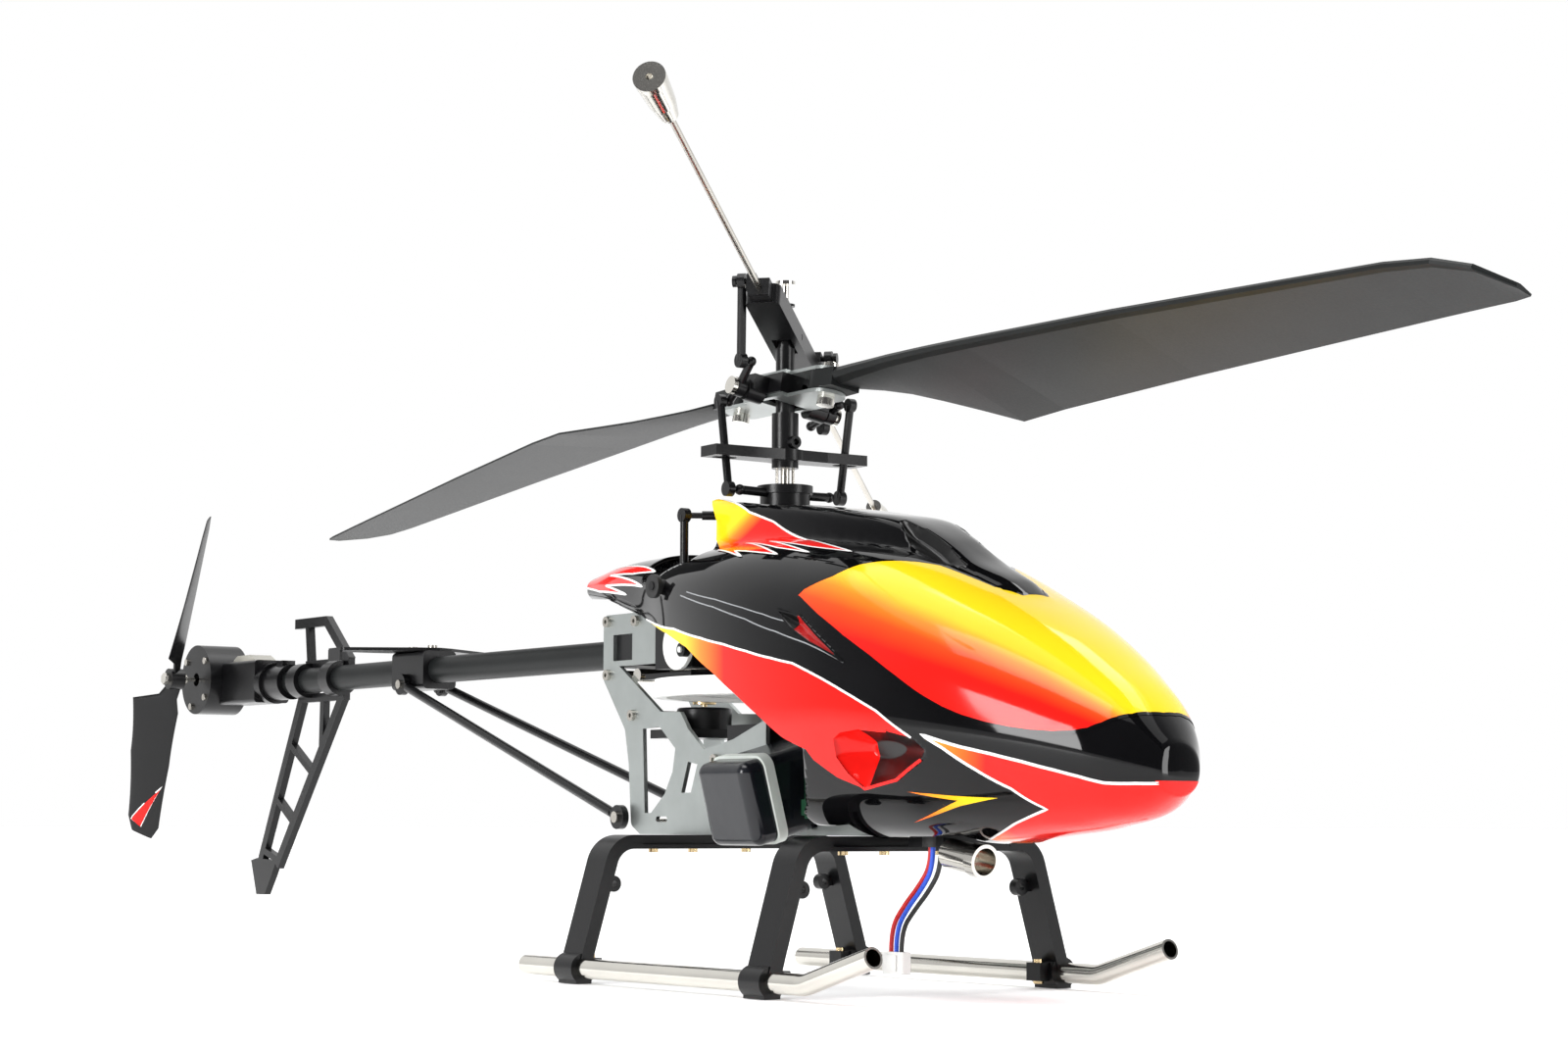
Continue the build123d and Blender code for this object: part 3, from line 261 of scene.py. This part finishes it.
def surface(x, angle):
    """Points of the canopy skin in mm; 0 degrees is starboard, 90 the top, 180 port."""
    x, angle = np.broadcast_arrays(np.asarray(x, float), np.radians(np.asarray(angle, float)))
    half, low, high, power = (smooth(SHELL, x, k) for k in (1, 2, 3, 4))
    middle, rise = (low + high) / 2, (high - low) / 2
    c, s = np.cos(angle), np.sin(angle)
    body = (np.abs(c / half) ** power + np.abs(s / rise) ** power) ** (-1 / power)
    dhalf, dlow, dhigh, dpower = (smooth(DECK, x, k) for k in (1, 2, 3, 4))
    lift, drise = (dlow + dhigh) / 2 - middle, (dhigh - dlow) / 2

    def inside(reach):
        return np.abs(reach * c / dhalf) ** dpower + np.abs((reach * s - lift) / drise) ** dpower < 1

    deck = np.zeros_like(body)
    for reach in np.linspace(0, 70, 141):
        deck = np.where(inside(body * 0 + reach) & (s > 0.5), reach, deck)
    for step in (0.25, 0.125, 0.06, 0.03):
        deck = np.where(inside(deck + step) & (deck > 0), deck + step, deck)
    deck = np.where((x > -17) & (x < 138), deck, 0)
    blend = 5.0
    fade = np.clip((136 - x) / 14, 0, 1)
    near = np.clip(blend - np.abs(body - deck), 0, None) / blend * fade
    reach = np.maximum(body, deck) + near * near * blend / 4
    return np.stack([x, -reach * c, middle + reach * s], -1)


def skin(x, angle, lift=0.0):
    """Skin points moved out by lift along the normal."""
    point = surface(x, angle)
    if lift:
        ahead = surface(np.asarray(x) + 0.4, angle) - surface(np.asarray(x) - 0.4, angle)
        round_ = surface(x, np.asarray(angle) + 0.5) - surface(x, np.asarray(angle) - 0.5)
        normal = np.cross(round_, ahead)
        normal /= np.linalg.norm(normal, axis=-1, keepdims=True)
        middle = (smooth(SHELL, np.asarray(x, float), 2) + smooth(SHELL, np.asarray(x, float), 3)) / 2
        outward = point.copy()
        outward[..., 0] = 0
        outward[..., 2] -= middle
        sign = np.sign((normal * outward).sum(-1, keepdims=True))
        point = point + normal * sign * lift
    return point


def mesh_object(name, verts, faces, finish):
    mesh = bpy.data.meshes.new(name)
    mesh.from_pydata([tuple(v) for v in verts], [], faces)
    mesh.update()
    thing = bpy.data.objects.new(name, mesh)
    scene.collection.objects.link(thing)
    mesh.materials.append(finish)
    for polygon in mesh.polygons:
        polygon.use_smooth = True
    return thing


REAR_CUT = [(-120, 134), (-82, 131), (-39.5, 121), (-13, 115), (6, 110), (26, 100.3), (42.5, 92.3), (55, 85),
            (66, 78.3), (75, 75)]
LOWER_CUT = [(40, 60), (55.5, 61), (58.3, 66.5), (64.5, 71.5), (70.3, 74), (75, 75)]


def kept(x, y, z):
    """Positive where the shell has skin: above the rear cut, off the openings."""
    above = z - np.interp(x, [p[0] for p in REAR_CUT], [p[1] for p in REAR_CUT])
    ahead = x - np.interp(z, [p[0] for p in LOWER_CUT], [p[1] for p in LOWER_CUT])
    keep = np.where(z < 75, ahead, np.where(x < 75, above, 100.0))
    along = np.minimum(x + 46, np.where(x < -9.5, 100, 34 - x))
    half = np.where(x < -9.5, 31.5, np.where(x < 28, 19.4, 19.4 - (x - 28) * 0.9))
    in_hole = np.minimum(np.minimum(along, half - np.abs(y)), z - 134)
    keep = np.minimum(keep, -in_hole)
    half = np.where(x < 78, 31.0, 20.0)
    belly = np.minimum(np.minimum(np.minimum(x - 60, 118 - x), half - np.abs(y)), 56 - z)
    return np.minimum(keep, -belly)


def outside(x, angle, outline):
    """Distance from a closed outline in x and angle, negative inside it."""
    best = np.full(np.shape(x), 1e9)
    crossings = np.zeros(np.shape(x), int)
    for (ax, ay), (bx, by) in zip(outline, outline[1:] + outline[:1]):
        run, rise = bx - ax, by - ay
        along = np.clip(((x - ax) * run + (angle - ay) * rise) / (run ** 2 + rise ** 2), 0, 1)
        best = np.minimum(best, np.hypot(x - ax - along * run, angle - ay - along * rise))
        if rise != 0:
            crossings += ((ay > angle) != (by > angle)) & (x < run * (angle - ay) / rise + ax)
    return np.where(crossings % 2 == 1, -best, best)


def clipped_grid(points, value, bottom_seam):
    """Quads of a closed grid, cut along value = 0."""
    rows, cols = value.shape
    verts = [tuple(p) for p in points.reshape(-1, 3)]
    values = value.reshape(-1)
    cuts = {}
    faces = []

    def crossing(a, b):
        key = (min(a, b), max(a, b))
        if key not in cuts:
            t = values[a] / (values[a] - values[b])
            pa, pb = np.array(verts[a]), np.array(verts[b])
            cuts[key] = len(verts)
            verts.append(tuple(pa + (pb - pa) * t))
        return cuts[key]

    for i in range(rows - 1):
        for j in range(cols):
            k = (j + 1) % cols
            if k == 0 and not bottom_seam:
                continue
            ring = [i * cols + j, i * cols + k, (i + 1) * cols + k, (i + 1) * cols + j]
            face = []
            for a, b in zip(ring, ring[1:] + ring[:1]):
                if values[a] >= 0:
                    face.append(a)
                if (values[a] >= 0) != (values[b] >= 0):
                    face.append(crossing(a, b))
            if len(face) >= 3:
                faces.append(face)
    return verts, faces


def clean(thing, merge=0.00002):
    work = bmesh.new()
    work.from_mesh(thing.data)
    bmesh.ops.delete(work, geom=[v for v in work.verts if not v.link_faces], context="VERTS")
    bmesh.ops.remove_doubles(work, verts=work.verts, dist=merge)
    bmesh.ops.recalc_face_normals(work, faces=work.faces)
    work.to_mesh(thing.data)
    work.free()


# Outlines of the prints and recesses, as places along the canopy and angles up from its side.
WIND_LOW = [(67.5, 33.5), (80, 27), (92.5, 21.5), (104.5, 17), (115, 12.3), (124.5, 7.4), (132.5, 4),
            (139, 2.2), (146, 1.4), (153.5, 1.7), (160, 3), (166, 5.6), (171.5, 10), (175.5, 16),
            (178.5, 25), (180.8, 36), (183, 50), (184.5, 70), (185, 90)]
WIND_UP = [(129.0, 90), (129.0, 82.5), (122, 77), (112, 74), (102, 71), (96.5, 66), (89, 58.5), (83, 52),
           (77.5, 43.5), (69, 36.5), (67.5, 33.5)]
CHIN_UP = [(125, -8.5), (137.5, -11.5), (147.5, -13), (157, -15), (166, -18), (172.5, -21), (179, -25.5),
           (186, -27), (190.6, -30)]
CHIN_LOW = [(190.6, -90), (123.5, -90), (123.5, -70), (143, -55), (158, -45.5), (151, -31),
            (141.5, -21.5), (132, -13), (125, -8.5)]
ARROW = [(114.5, -33.5), (123, -34), (131, -35), (145, -36.5), (130.5, -40.5), (120, -45), (107, -50.5),
         (120, -43.5), (131, -37.5)]
FIN = [(-14.5, 65), (-13, 67.5), (-6.5, 66.8), (10, 65), (23.5, 65.5), (45, 64), (73, 58.5), (53, 57.5),
       (25.5, 58.5), (57, 53.5), (38.5, 53), (9.5, 56.5), (44, 49), (16.5, 47), (26, 44), (0.5, 47),
       (-9.4, 55), (-9.4, 60)]
TAIL = [(-110, 26.5), (-88.5, 29.5), (-60, 25), (-35, 21.5), (-57.5, 16), (-82, 15), (-43.5, 8.5),
        (-83.5, 3.5), (-59.5, -1.5), (-91.5, -3.5), (-110, 2.5)]
FLAME = [(-39.5, -11.5), (-5.5, 1.5), (17.5, 7), (33.5, 9.5), (47, 10.5), (60, 10.5), (71.5, 9.5),
         (87, 4.5), (98, 1), (108.5, -2.5), (115, -6.5), (121.5, -10.5), (112.5, -9.5), (101, -10.5),
         (93, -13), (89.5, -16), (89.5, -23), (93, -29), (97.5, -34), (87.5, -30.5), (79, -24.5),
         (76.5, -21), (66, -17.5), (55, -12), (42.5, -7.5), (26, -3.5), (6, -1.5), (-13, -4)]
INTAKE = [(89.5, -16), (93, -13), (101, -10.5), (112.5, -9.5), (121.5, -10.5), (126, -15), (124, -19),
          (112.5, -28.5), (97.5, -34), (93, -29), (89.5, -23)]
VENT = [(60, 27.5), (72, 26.5), (82, 20), (95, 12.5), (78.5, 17.5), (68.5, 22)]
GROOVE = [(-2, 18), (23.5, 21), (44, 21.5), (61.5, 20), (77, 17), (94.5, 12.5)]
GROOVE_TOP = [(2.5, 21), (23.5, 24), (41.5, 25), (53.5, 25), (65, 24)]
SCOOP = [(76, 79), (86, 81), (98, 81), (108, 78), (100, 72.5), (86, 73.5)]

xs = np.concatenate([np.arange(-110, 176, 1.25), np.linspace(177, 191, 16)])
angles = np.arange(-90, 270, 1.5)
grid_x, grid_a = np.meshgrid(xs, angles, indexing="ij")
points = surface(grid_x, grid_a)
skin_left = kept(points[..., 0], points[..., 1], points[..., 2])
near_side = np.where(grid_a > 90, 180 - grid_a, grid_a)
for outline in (INTAKE, VENT, SCOOP):
    skin_left = np.minimum(skin_left, outside(grid_x, near_side, outline))
verts, faces = clipped_grid(points * MM, skin_left * MM, True)
last = points[-1]
centre = np.array([0, 0, (last[:, 2].max() + last[:, 2].min()) / 2])
rings = [last]
for scale, bulge in ((0.94, 0.22), (0.82, 0.45), (0.6, 0.68), (0.3, 0.82), (0.05, 0.86)):
    ring = centre + (last - centre) * scale
    ring[:, 0] = 191 + bulge
    rings.append(ring)
nose_points = np.array(rings)
base = len(verts)
verts += [tuple(p * MM) for ring in rings[1:] for p in ring]
count = len(angles)
for i in range(len(rings) - 1):
    for j in range(count):
        k = (j + 1) % count
        low = (len(xs) - 1) * count if i == 0 else base + (i - 1) * count
        high = base + i * count
        faces.append([low + j, low + k, high + k, high + j])
faces.append([base + (len(rings) - 2) * count + j for j in range(count)])
canopy = mesh_object("canopy_shell", verts, faces, finishes["canopy_red_black"])
clean(canopy)
wall = canopy.modifiers.new("wall", "SOLIDIFY")
wall.thickness = 1.2 * MM
wall.offset = -1
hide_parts("canopy")
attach(canopy, "fuselage")


def clip(polygon, axis, limit, keep_above):
    """Part of a polygon on one side of a line of constant x or angle."""
    result = []
    for a, b in zip(polygon, polygon[1:] + polygon[:1]):
        inside_a = (a[axis] >= limit) == keep_above
        inside_b = (b[axis] >= limit) == keep_above
        if inside_a:
            result.append(a)
        if inside_a != inside_b:
            t = (limit - a[axis]) / (b[axis] - a[axis])
            result.append((a[0] + (b[0] - a[0]) * t, a[1] + (b[1] - a[1]) * t))
    return result


def patch(name, outline, finish, lift, cell=(3.0, 3.0)):
    """A printed area on both sides of the skin, given by its outline in x and angle."""
    verts, faces = [], []
    low = [min(p[k] for p in outline) for k in (0, 1)]
    high = [max(p[k] for p in outline) for k in (0, 1)]
    for i in range(int((high[0] - low[0]) / cell[0]) + 1):
        column = clip(outline, 0, low[0] + i * cell[0], True)
        column = clip(column, 0, low[0] + (i + 1) * cell[0], False) if len(column) > 2 else []
        if len(column) < 3:
            continue
        for j in range(int((high[1] - low[1]) / cell[1]) + 1):
            piece = clip(column, 1, low[1] + j * cell[1], True)
            piece = clip(piece, 1, low[1] + (j + 1) * cell[1], False) if len(piece) > 2 else []
            if len(piece) < 3:
                continue
            faces.append(list(range(len(verts), len(verts) + len(piece))))
            verts.extend(piece)
    flat = np.array(verts)
    placed = skin(flat[:, 0], flat[:, 1], lift) * MM
    count = len(placed)
    both = np.concatenate([placed, placed * np.array([1, -1, 1])])
    faces += [[count + v for v in reversed(face)] for face in faces]
    thing = mesh_object(name, both, faces, finish)
    clean(thing, 0.000005)
    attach(thing, "fuselage")
    return thing


def stroke(name, line, width, finish, lift):
    """A thin line on both sides of the skin, along points in x and angle; it draws print lines, and the
    painted highlight along the grooves.
    """
    path = []
    for a, b in zip(line, line[1:]):
        steps = max(1, int(math.hypot(b[0] - a[0], b[1] - a[1]) / 1.5))
        path += [(a[0] + (b[0] - a[0]) * k / steps, a[1] + (b[1] - a[1]) * k / steps) for k in range(steps)]
    path.append(line[-1])
    flat = np.array(path)
    centre = skin(flat[:, 0], flat[:, 1], lift)
    outer = skin(flat[:, 0], flat[:, 1], lift + 0.5)
    normal = outer - centre
    normal /= np.linalg.norm(normal, axis=1, keepdims=True)
    tangent = np.gradient(centre, axis=0)
    across = np.cross(normal, tangent)
    across /= np.linalg.norm(across, axis=1, keepdims=True) + 1e-9
    left, right = centre + across * width / 2, centre - across * width / 2
    verts = list(np.concatenate([left, right]) * MM)
    n = len(path)
    faces = [[k, k + 1, n + k + 1, n + k] for k in range(n - 1)]
    count = len(verts)
    verts += [v * np.array([1, -1, 1]) for v in verts]
    faces += [[count + v for v in reversed(face)] for face in faces]
    thing = mesh_object(name, verts, faces, finish)
    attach(thing, "fuselage")
    return thing


SCARLET = (0.92, 0.06, 0.01)
AMBER = (0.94, 0.52, 0.012)
windshield_stops = [(0.0, RED), (0.42, RED), (0.58, SCARLET), (0.70, ORANGE), (0.82, AMBER), (0.98, YELLOW)]
windshield = graded("windshield print", (0, 0, 0), (1, 0, 0), windshield_stops, axis_height=(110.9, -0.218))
chin_red = graded("chin print", (120, -44, 82), (152, -38, 74), [(0.0, YELLOW), (0.5, ORANGE), (0.9, RED)])
arrow_stops = [(0.0, RED), (0.4, ORANGE), (0.9, YELLOW)]
arrow_print = graded("arrow print", (105, -40, 60), (140, -36, 64), arrow_stops)
fin_stops = [(0.0, YELLOW), (0.35, YELLOW), (0.65, ORANGE), (0.95, RED)]
fin_print = graded("fin print", (0, -21, 155), (6, -21, 144), fin_stops)
flame_print = graded("flame print", (-36, -40, 105), (36, -40, 105), [
    (0.0, YELLOW), (0.55, YELLOW), (0.78, ORANGE), (1.0, RED)])
tail_print = graded("tail print", (-120, -10, 140), (-20, -30, 140), [(0.0, RED), (1.0, RED)])
# Near-black, less glossy finish for the deep parts of the intake, vent and scoop: painted shade standing in
# for the darkness inside deep openings.
dark = material("painted recess shade", (0.002, 0.002, 0.002), 0.3, bump=0.0)
vent_red = material("vent lining", (0.4, 0.01, 0.01), 0.15, coat=0.5, bump=0.0)


def pocket(name, outline, depth, slope, split, finish, front_finish, smoothing=0):
    """A recess pressed into the skin; it deepens over a distance, and its front part has another finish."""
    low = [min(p[k] for p in outline) - 1 for k in (0, 1)]
    high = [max(p[k] for p in outline) + 1 for k in (0, 1)]
    px, pa = np.meshgrid(np.arange(low[0], high[0], 0.5), np.arange(low[1], high[1], 0.5), indexing="ij")
    within = -outside(px, pa, outline)
    for _ in range(smoothing):
        inner = np.pad(within, 1, mode="edge")
        mean = (inner[:-2, 1:-1] + inner[2:, 1:-1] + inner[1:-1, :-2] + inner[1:-1, 2:]) / 4
        within = np.where(within > 0, np.maximum(mean, 0.01), within)
    base = skin(px, pa, 0.0)
    inward = skin(px, pa, 1.0) - base
    sink = depth * np.clip(within / slope, 0, 1) ** 0.7
    sunk = base - inward * sink[..., None]
    for mark, side in (("", 1), ("_port", -1)):
        for part, ahead, use in (("", split - px, finish), ("_front", px - split, front_finish)):
            value = np.minimum(within, ahead)
            part_verts, part_faces = clipped_grid(sunk * np.array([1, side, 1]) * MM, value * MM, False)
            if not part_faces:
                continue
            thing = mesh_object(name + part + mark, part_verts, part_faces, use)
            clean(thing, 0.000005)
            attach(thing, "fuselage")


red_gloss = graded("red gloss", (60, -40, 80), (100, -40, 80), [(0.0, RED), (1.0, RED)])
patch("print_windshield", WIND_LOW + WIND_UP[:-1], windshield, 0.14, cell=(1.5, 1.5))
stroke("line_windshield", WIND_UP + WIND_LOW[1:], 1.1, finishes["canopy_red_black"], 0.18)
patch("print_chin", CHIN_UP + CHIN_LOW[:-1], chin_red, 0.08)
stroke("line_chin", CHIN_LOW[2:] + CHIN_UP[1:], 0.9, white, 0.14)
patch("print_arrow", ARROW, arrow_print, 0.08)
cap_rings = np.array([points[-2]] + rings)
outward = (cap_rings - centre) * np.array([0, 1, 1])
outward /= np.linalg.norm(outward, axis=-1, keepdims=True)
cap_points = cap_rings + (outward + np.array([1, 0, 0])) * 0.1
cap_verts, cap_faces = clipped_grid(cap_points * MM, (64.6 - cap_points[..., 2]) * MM, True)
cap = mesh_object("print_nose", cap_verts, cap_faces, chin_red)
clean(cap, 0.000005)
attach(cap, "fuselage")
patch("print_fin", FIN, fin_print, 0.2, cell=(1.5, 1.5))
stroke("line_fin", FIN[1:16], 0.7, white, 0.26)
patch("print_tail", TAIL, tail_print, 0.08)
stroke("line_tail", TAIL, 0.7, white, 0.12)
patch("print_flame", FLAME, flame_print, 0.08)
stroke("line_flame", FLAME[:12], 0.7, white, 0.12)
# The dark parts of the intake, vent and scoop pockets carry painted shade for their depth.
pocket("intake", INTAKE, 8.5, 5.0, 99.5, red_gloss, dark, smoothing=160)
stroke("intake_lip", INTAKE[6:] + INTAKE[:4], 1.0, red_gloss, 0.3)
pocket("vent", VENT, 2.4, 2.6, 70.0, dark, vent_red)
stroke("vent_lip", VENT + VENT[:1], 0.6, finishes["canopy_red_black"], 0.3)
# Grey lines along the grooves: a painted highlight where the groove edges catch the light.
stroke("groove_highlight_line", GROOVE, 0.4, groove_highlight, 0.03)
stroke("groove_highlight_line_top", GROOVE_TOP, 0.35, groove_highlight, 0.03)
pocket("scoop", SCOOP, 3.2, 2.4, 200.0, dark, dark, smoothing=10)


# ---- marks on the blades -------------------------------------------------
def tail_blade_point(reach, share, face):
    """A point on the lower tail blade: share runs from -1 to 1 across it, face is its side."""
    stations = ((4.0, 7.0, 2.4, 0.0, 42), (9.0, 9.0, 2.2, 1.5, 42), (15.0, 23.0, 2.0, 6.5, 40),
                (40.0, 20.5, 1.8, 4.0, 36), (70.0, 17.0, 1.4, 0.6, 32), (76.0, 11.0, 1.0, 0.2, 32))
    reaches = [station[0] for station in stations]
    chord, thick, offset, pitch = (np.interp(reach, reaches, [s[k] for s in stations]) for k in (1, 2, 3, 4))
    angle, pitch = math.radians(205.0), math.radians(pitch)
    along = np.array([math.sin(angle), 0, math.cos(angle)])
    level = np.array([math.cos(angle), 0, -math.sin(angle)])
    across = level * math.cos(pitch) - np.array([0, math.sin(pitch), 0])
    normal = np.cross(across, along)
    skin_height = thick / 2 * math.sqrt(max(0.0, 1 - share ** 2)) + 0.08
    root = np.array([-433.0, -24.8, 116.0])
    return root + along * reach + across * (offset + share * chord / 2) + normal * skin_height * face


def tail_mark(name, corners, finish, raise_by=0.0):
    """A flat sticker on both faces of the lower tail blade, from three corners in reach and share."""
    verts, faces = [], []
    for face in (1, -1):
        base = len(verts)
        steps = 12
        index = {}
        for i in range(steps + 1):
            for j in range(steps + 1 - i):
                u, v = i / steps, j / steps
                weights = (1 - u - v, u, v)
                reach, share = (sum(w * corner[k] for w, corner in zip(weights, corners)) for k in (0, 1))
                index[i, j] = len(verts)
                verts.append(tail_blade_point(reach, share, face * (1 + raise_by)) * MM)
        for i in range(steps):
            for j in range(steps - i):
                faces.append([index[i, j], index[i + 1, j], index[i, j + 1]])
                if j < steps - i - 1:
                    faces.append([index[i + 1, j], index[i + 1, j + 1], index[i, j + 1]])
    thing = mesh_object(name, verts, faces, finish)
    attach(thing, "tail_propeller")


tail_mark("tail_mark_white", [(50, -0.86), (71, 0.84), (72.5, 0.05)], white)
tail_mark("tail_mark_red", [(52, -0.78), (71, 0.78), (72.5, 0.10)], red_gloss, 0.08)


# ---- wires ----------------------------------------------------------------
WIRES = {
    "wire_red": [
        (0.09180, -0.01060, 0.04540), (0.09180, -0.01060, 0.03980), (0.08760, -0.01180, 0.03360),
        (0.08160, -0.01290, 0.02760), (0.07620, -0.01380, 0.02060), (0.07620, -0.01380, 0.01340),
    ],
    "wire_blue": [
        (0.09420, -0.01160, 0.04540), (0.09420, -0.01160, 0.03920), (0.08980, -0.01240, 0.03280),
        (0.08380, -0.01310, 0.02700), (0.07880, -0.01380, 0.02020), (0.07880, -0.01380, 0.01340),
    ],
    "wire_black": [
        (0.09680, -0.01060, 0.04540), (0.09680, -0.01060, 0.03900), (0.09280, -0.01200, 0.03220),
        (0.08700, -0.01300, 0.02640), (0.08140, -0.01380, 0.02000), (0.08140, -0.01380, 0.01340),
    ],
}


def cord(name, points, finish):
    curve = bpy.data.curves.new(name, "CURVE")
    curve.dimensions = "3D"
    curve.bevel_depth = 0.75 * MM
    curve.bevel_resolution = 6
    curve.use_fill_caps = True
    spline = curve.splines.new("NURBS")
    spline.points.add(len(points) - 1)
    for target, point in zip(spline.points, points):
        target.co = (*point, 1)
    spline.order_u = 3
    spline.use_endpoint_u = True
    thing = bpy.data.objects.new(name + "_flex", curve)
    scene.collection.objects.link(thing)
    curve.materials.append(finish)
    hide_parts(name)
    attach(thing, "fuselage")
    return thing


for name, points in WIRES.items():
    flex = cord(name, points, finishes[slots_of[name]])


# ---- main gear with teeth ---------------------------------------------------
def toothed_wheel(name, teeth, root, tip, low, high, finish, inner):
    """A ring of teeth round the mast, between two heights and down to an inner radius, in mm."""
    work = bmesh.new()
    step = 2 * math.pi / teeth
    outline = []
    for tooth in range(teeth):
        for part, reach in ((-0.32, root), (-0.16, tip), (0.16, tip), (0.32, root)):
            angle = (tooth + part) * step
            outline.append((reach * math.cos(angle), reach * math.sin(angle)))
    rings = []
    for reach_scale, height in ((inner / root, low), (1.0, low), (1.0, high), (inner / root, high)):
        ring = []
        for px, py in outline:
            if reach_scale == 1.0:
                x, y = px, py
            else:
                length = math.hypot(px, py)
                x, y = px / length * inner, py / length * inner
            ring.append(work.verts.new((x * MM, y * MM, height * MM)))
        rings.append(ring)
    count = len(outline)
    for a, b in zip(rings, rings[1:] + rings[:1]):
        for k in range(count):
            work.faces.new((a[k], a[(k + 1) % count], b[(k + 1) % count], b[k]))
    mesh = bpy.data.meshes.new(name)
    bmesh.ops.recalc_face_normals(work, faces=work.faces)
    work.to_mesh(mesh)
    work.free()
    thing = bpy.data.objects.new(name, mesh)
    scene.collection.objects.link(thing)
    mesh.materials.append(finish)
    return thing


teeth_ring = toothed_wheel("main_gear_teeth", teeth=174, root=42.9, tip=43.3, low=94.1, high=99.9,
                           finish=finishes["white_plastic"], inner=42.0)
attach(teeth_ring, "rotor")


# ---- stage ------------------------------------------------------------------
floor_mesh = bpy.data.meshes.new("floor")
floor_mesh.from_pydata([(-30, -30, 0), (30, -30, 0), (30, 30, 0), (-30, 30, 0)], [], [(0, 1, 2, 3)])
floor = bpy.data.objects.new("floor", floor_mesh)
scene.collection.objects.link(floor)
floor.location.z = -0.0002
floor_finish = material("floor", (0.92, 0.92, 0.92), 0.7, bump=0.0, shade=0.01, specular=0.2)
floor_shader = next(n for n in floor_finish.node_tree.nodes if n.type == "BSDF_PRINCIPLED")
floor_shader.inputs["Emission Color"].default_value = (1, 1, 1, 1)
floor_shader.inputs["Emission Strength"].default_value = 0.3
floor_mesh.materials.append(floor_finish)


def softbox(name, location, target, size, power):
    """A rectangular lamp at a place, aimed at a target; all in metres and watts."""
    light = bpy.data.lights.new(name, "AREA")
    light.shape = "RECTANGLE"
    light.size, light.size_y = size
    light.energy = power
    thing = bpy.data.objects.new(name, light)
    thing.location = location
    thing.rotation_euler = (Vector(target) - Vector(location)).to_track_quat("-Z", "Y").to_euler()
    scene.collection.objects.link(thing)
    return thing


softbox("key", (0.35, -1.0, 2.1), (0.05, 0, 0.1), (1.5, 0.9), 20)
softbox("side_strip", (0.12, -1.65, 0.40), (0.16, 0, 0.09), (0.5, 0.62), 17)
softbox("nose_strip", (1.5, 0.6, 0.45), (0.15, 0, 0.09), (0.35, 0.9), 9)
softbox("tail_fill", (-1.5, -1.6, 1.3), (-0.2, 0, 0.1), (1.6, 0.5), 8).visible_glossy = False
softbox("top", (0.1, 0.5, 1.8), (0, 0, 0.1), (1.3, 0.9), 13)
overhead = bpy.data.lights.new("overhead", "SUN")
overhead.energy = 1.25
overhead.angle = 1.2
overhead_object = bpy.data.objects.new("overhead", overhead)
scene.collection.objects.link(overhead_object)

world = bpy.data.worlds.new("studio")
scene.world = world
world.use_nodes = True
tree = world.node_tree
background = next(n for n in tree.nodes if n.type == "BACKGROUND")
place = tree.nodes.new("ShaderNodeTexCoord")
dot = tree.nodes.new("ShaderNodeVectorMath")
dot.operation = "DOT_PRODUCT"
dot.inputs[1].default_value = (-0.81, 0.58, 0.0)
tree.links.new(place.outputs["Generated"], dot.inputs[0])
dim, dusk, pale, bright = (0.10, 0.10, 0.105), (0.16, 0.16, 0.165), (0.42, 0.42, 0.43), (1.0, 1.0, 1.0)
shades = ramp(tree, [(0.0, dim), (0.35, dusk), (0.55, pale), (0.72, bright)])
span = tree.nodes.new("ShaderNodeMapRange")
span.inputs["From Min"].default_value = -1
tree.links.new(dot.outputs["Value"], span.inputs["Value"])
tree.links.new(span.outputs["Result"], shades.inputs["Fac"])
tree.links.new(shades.outputs["Color"], background.inputs["Color"])
background.inputs["Strength"].default_value = 1.0
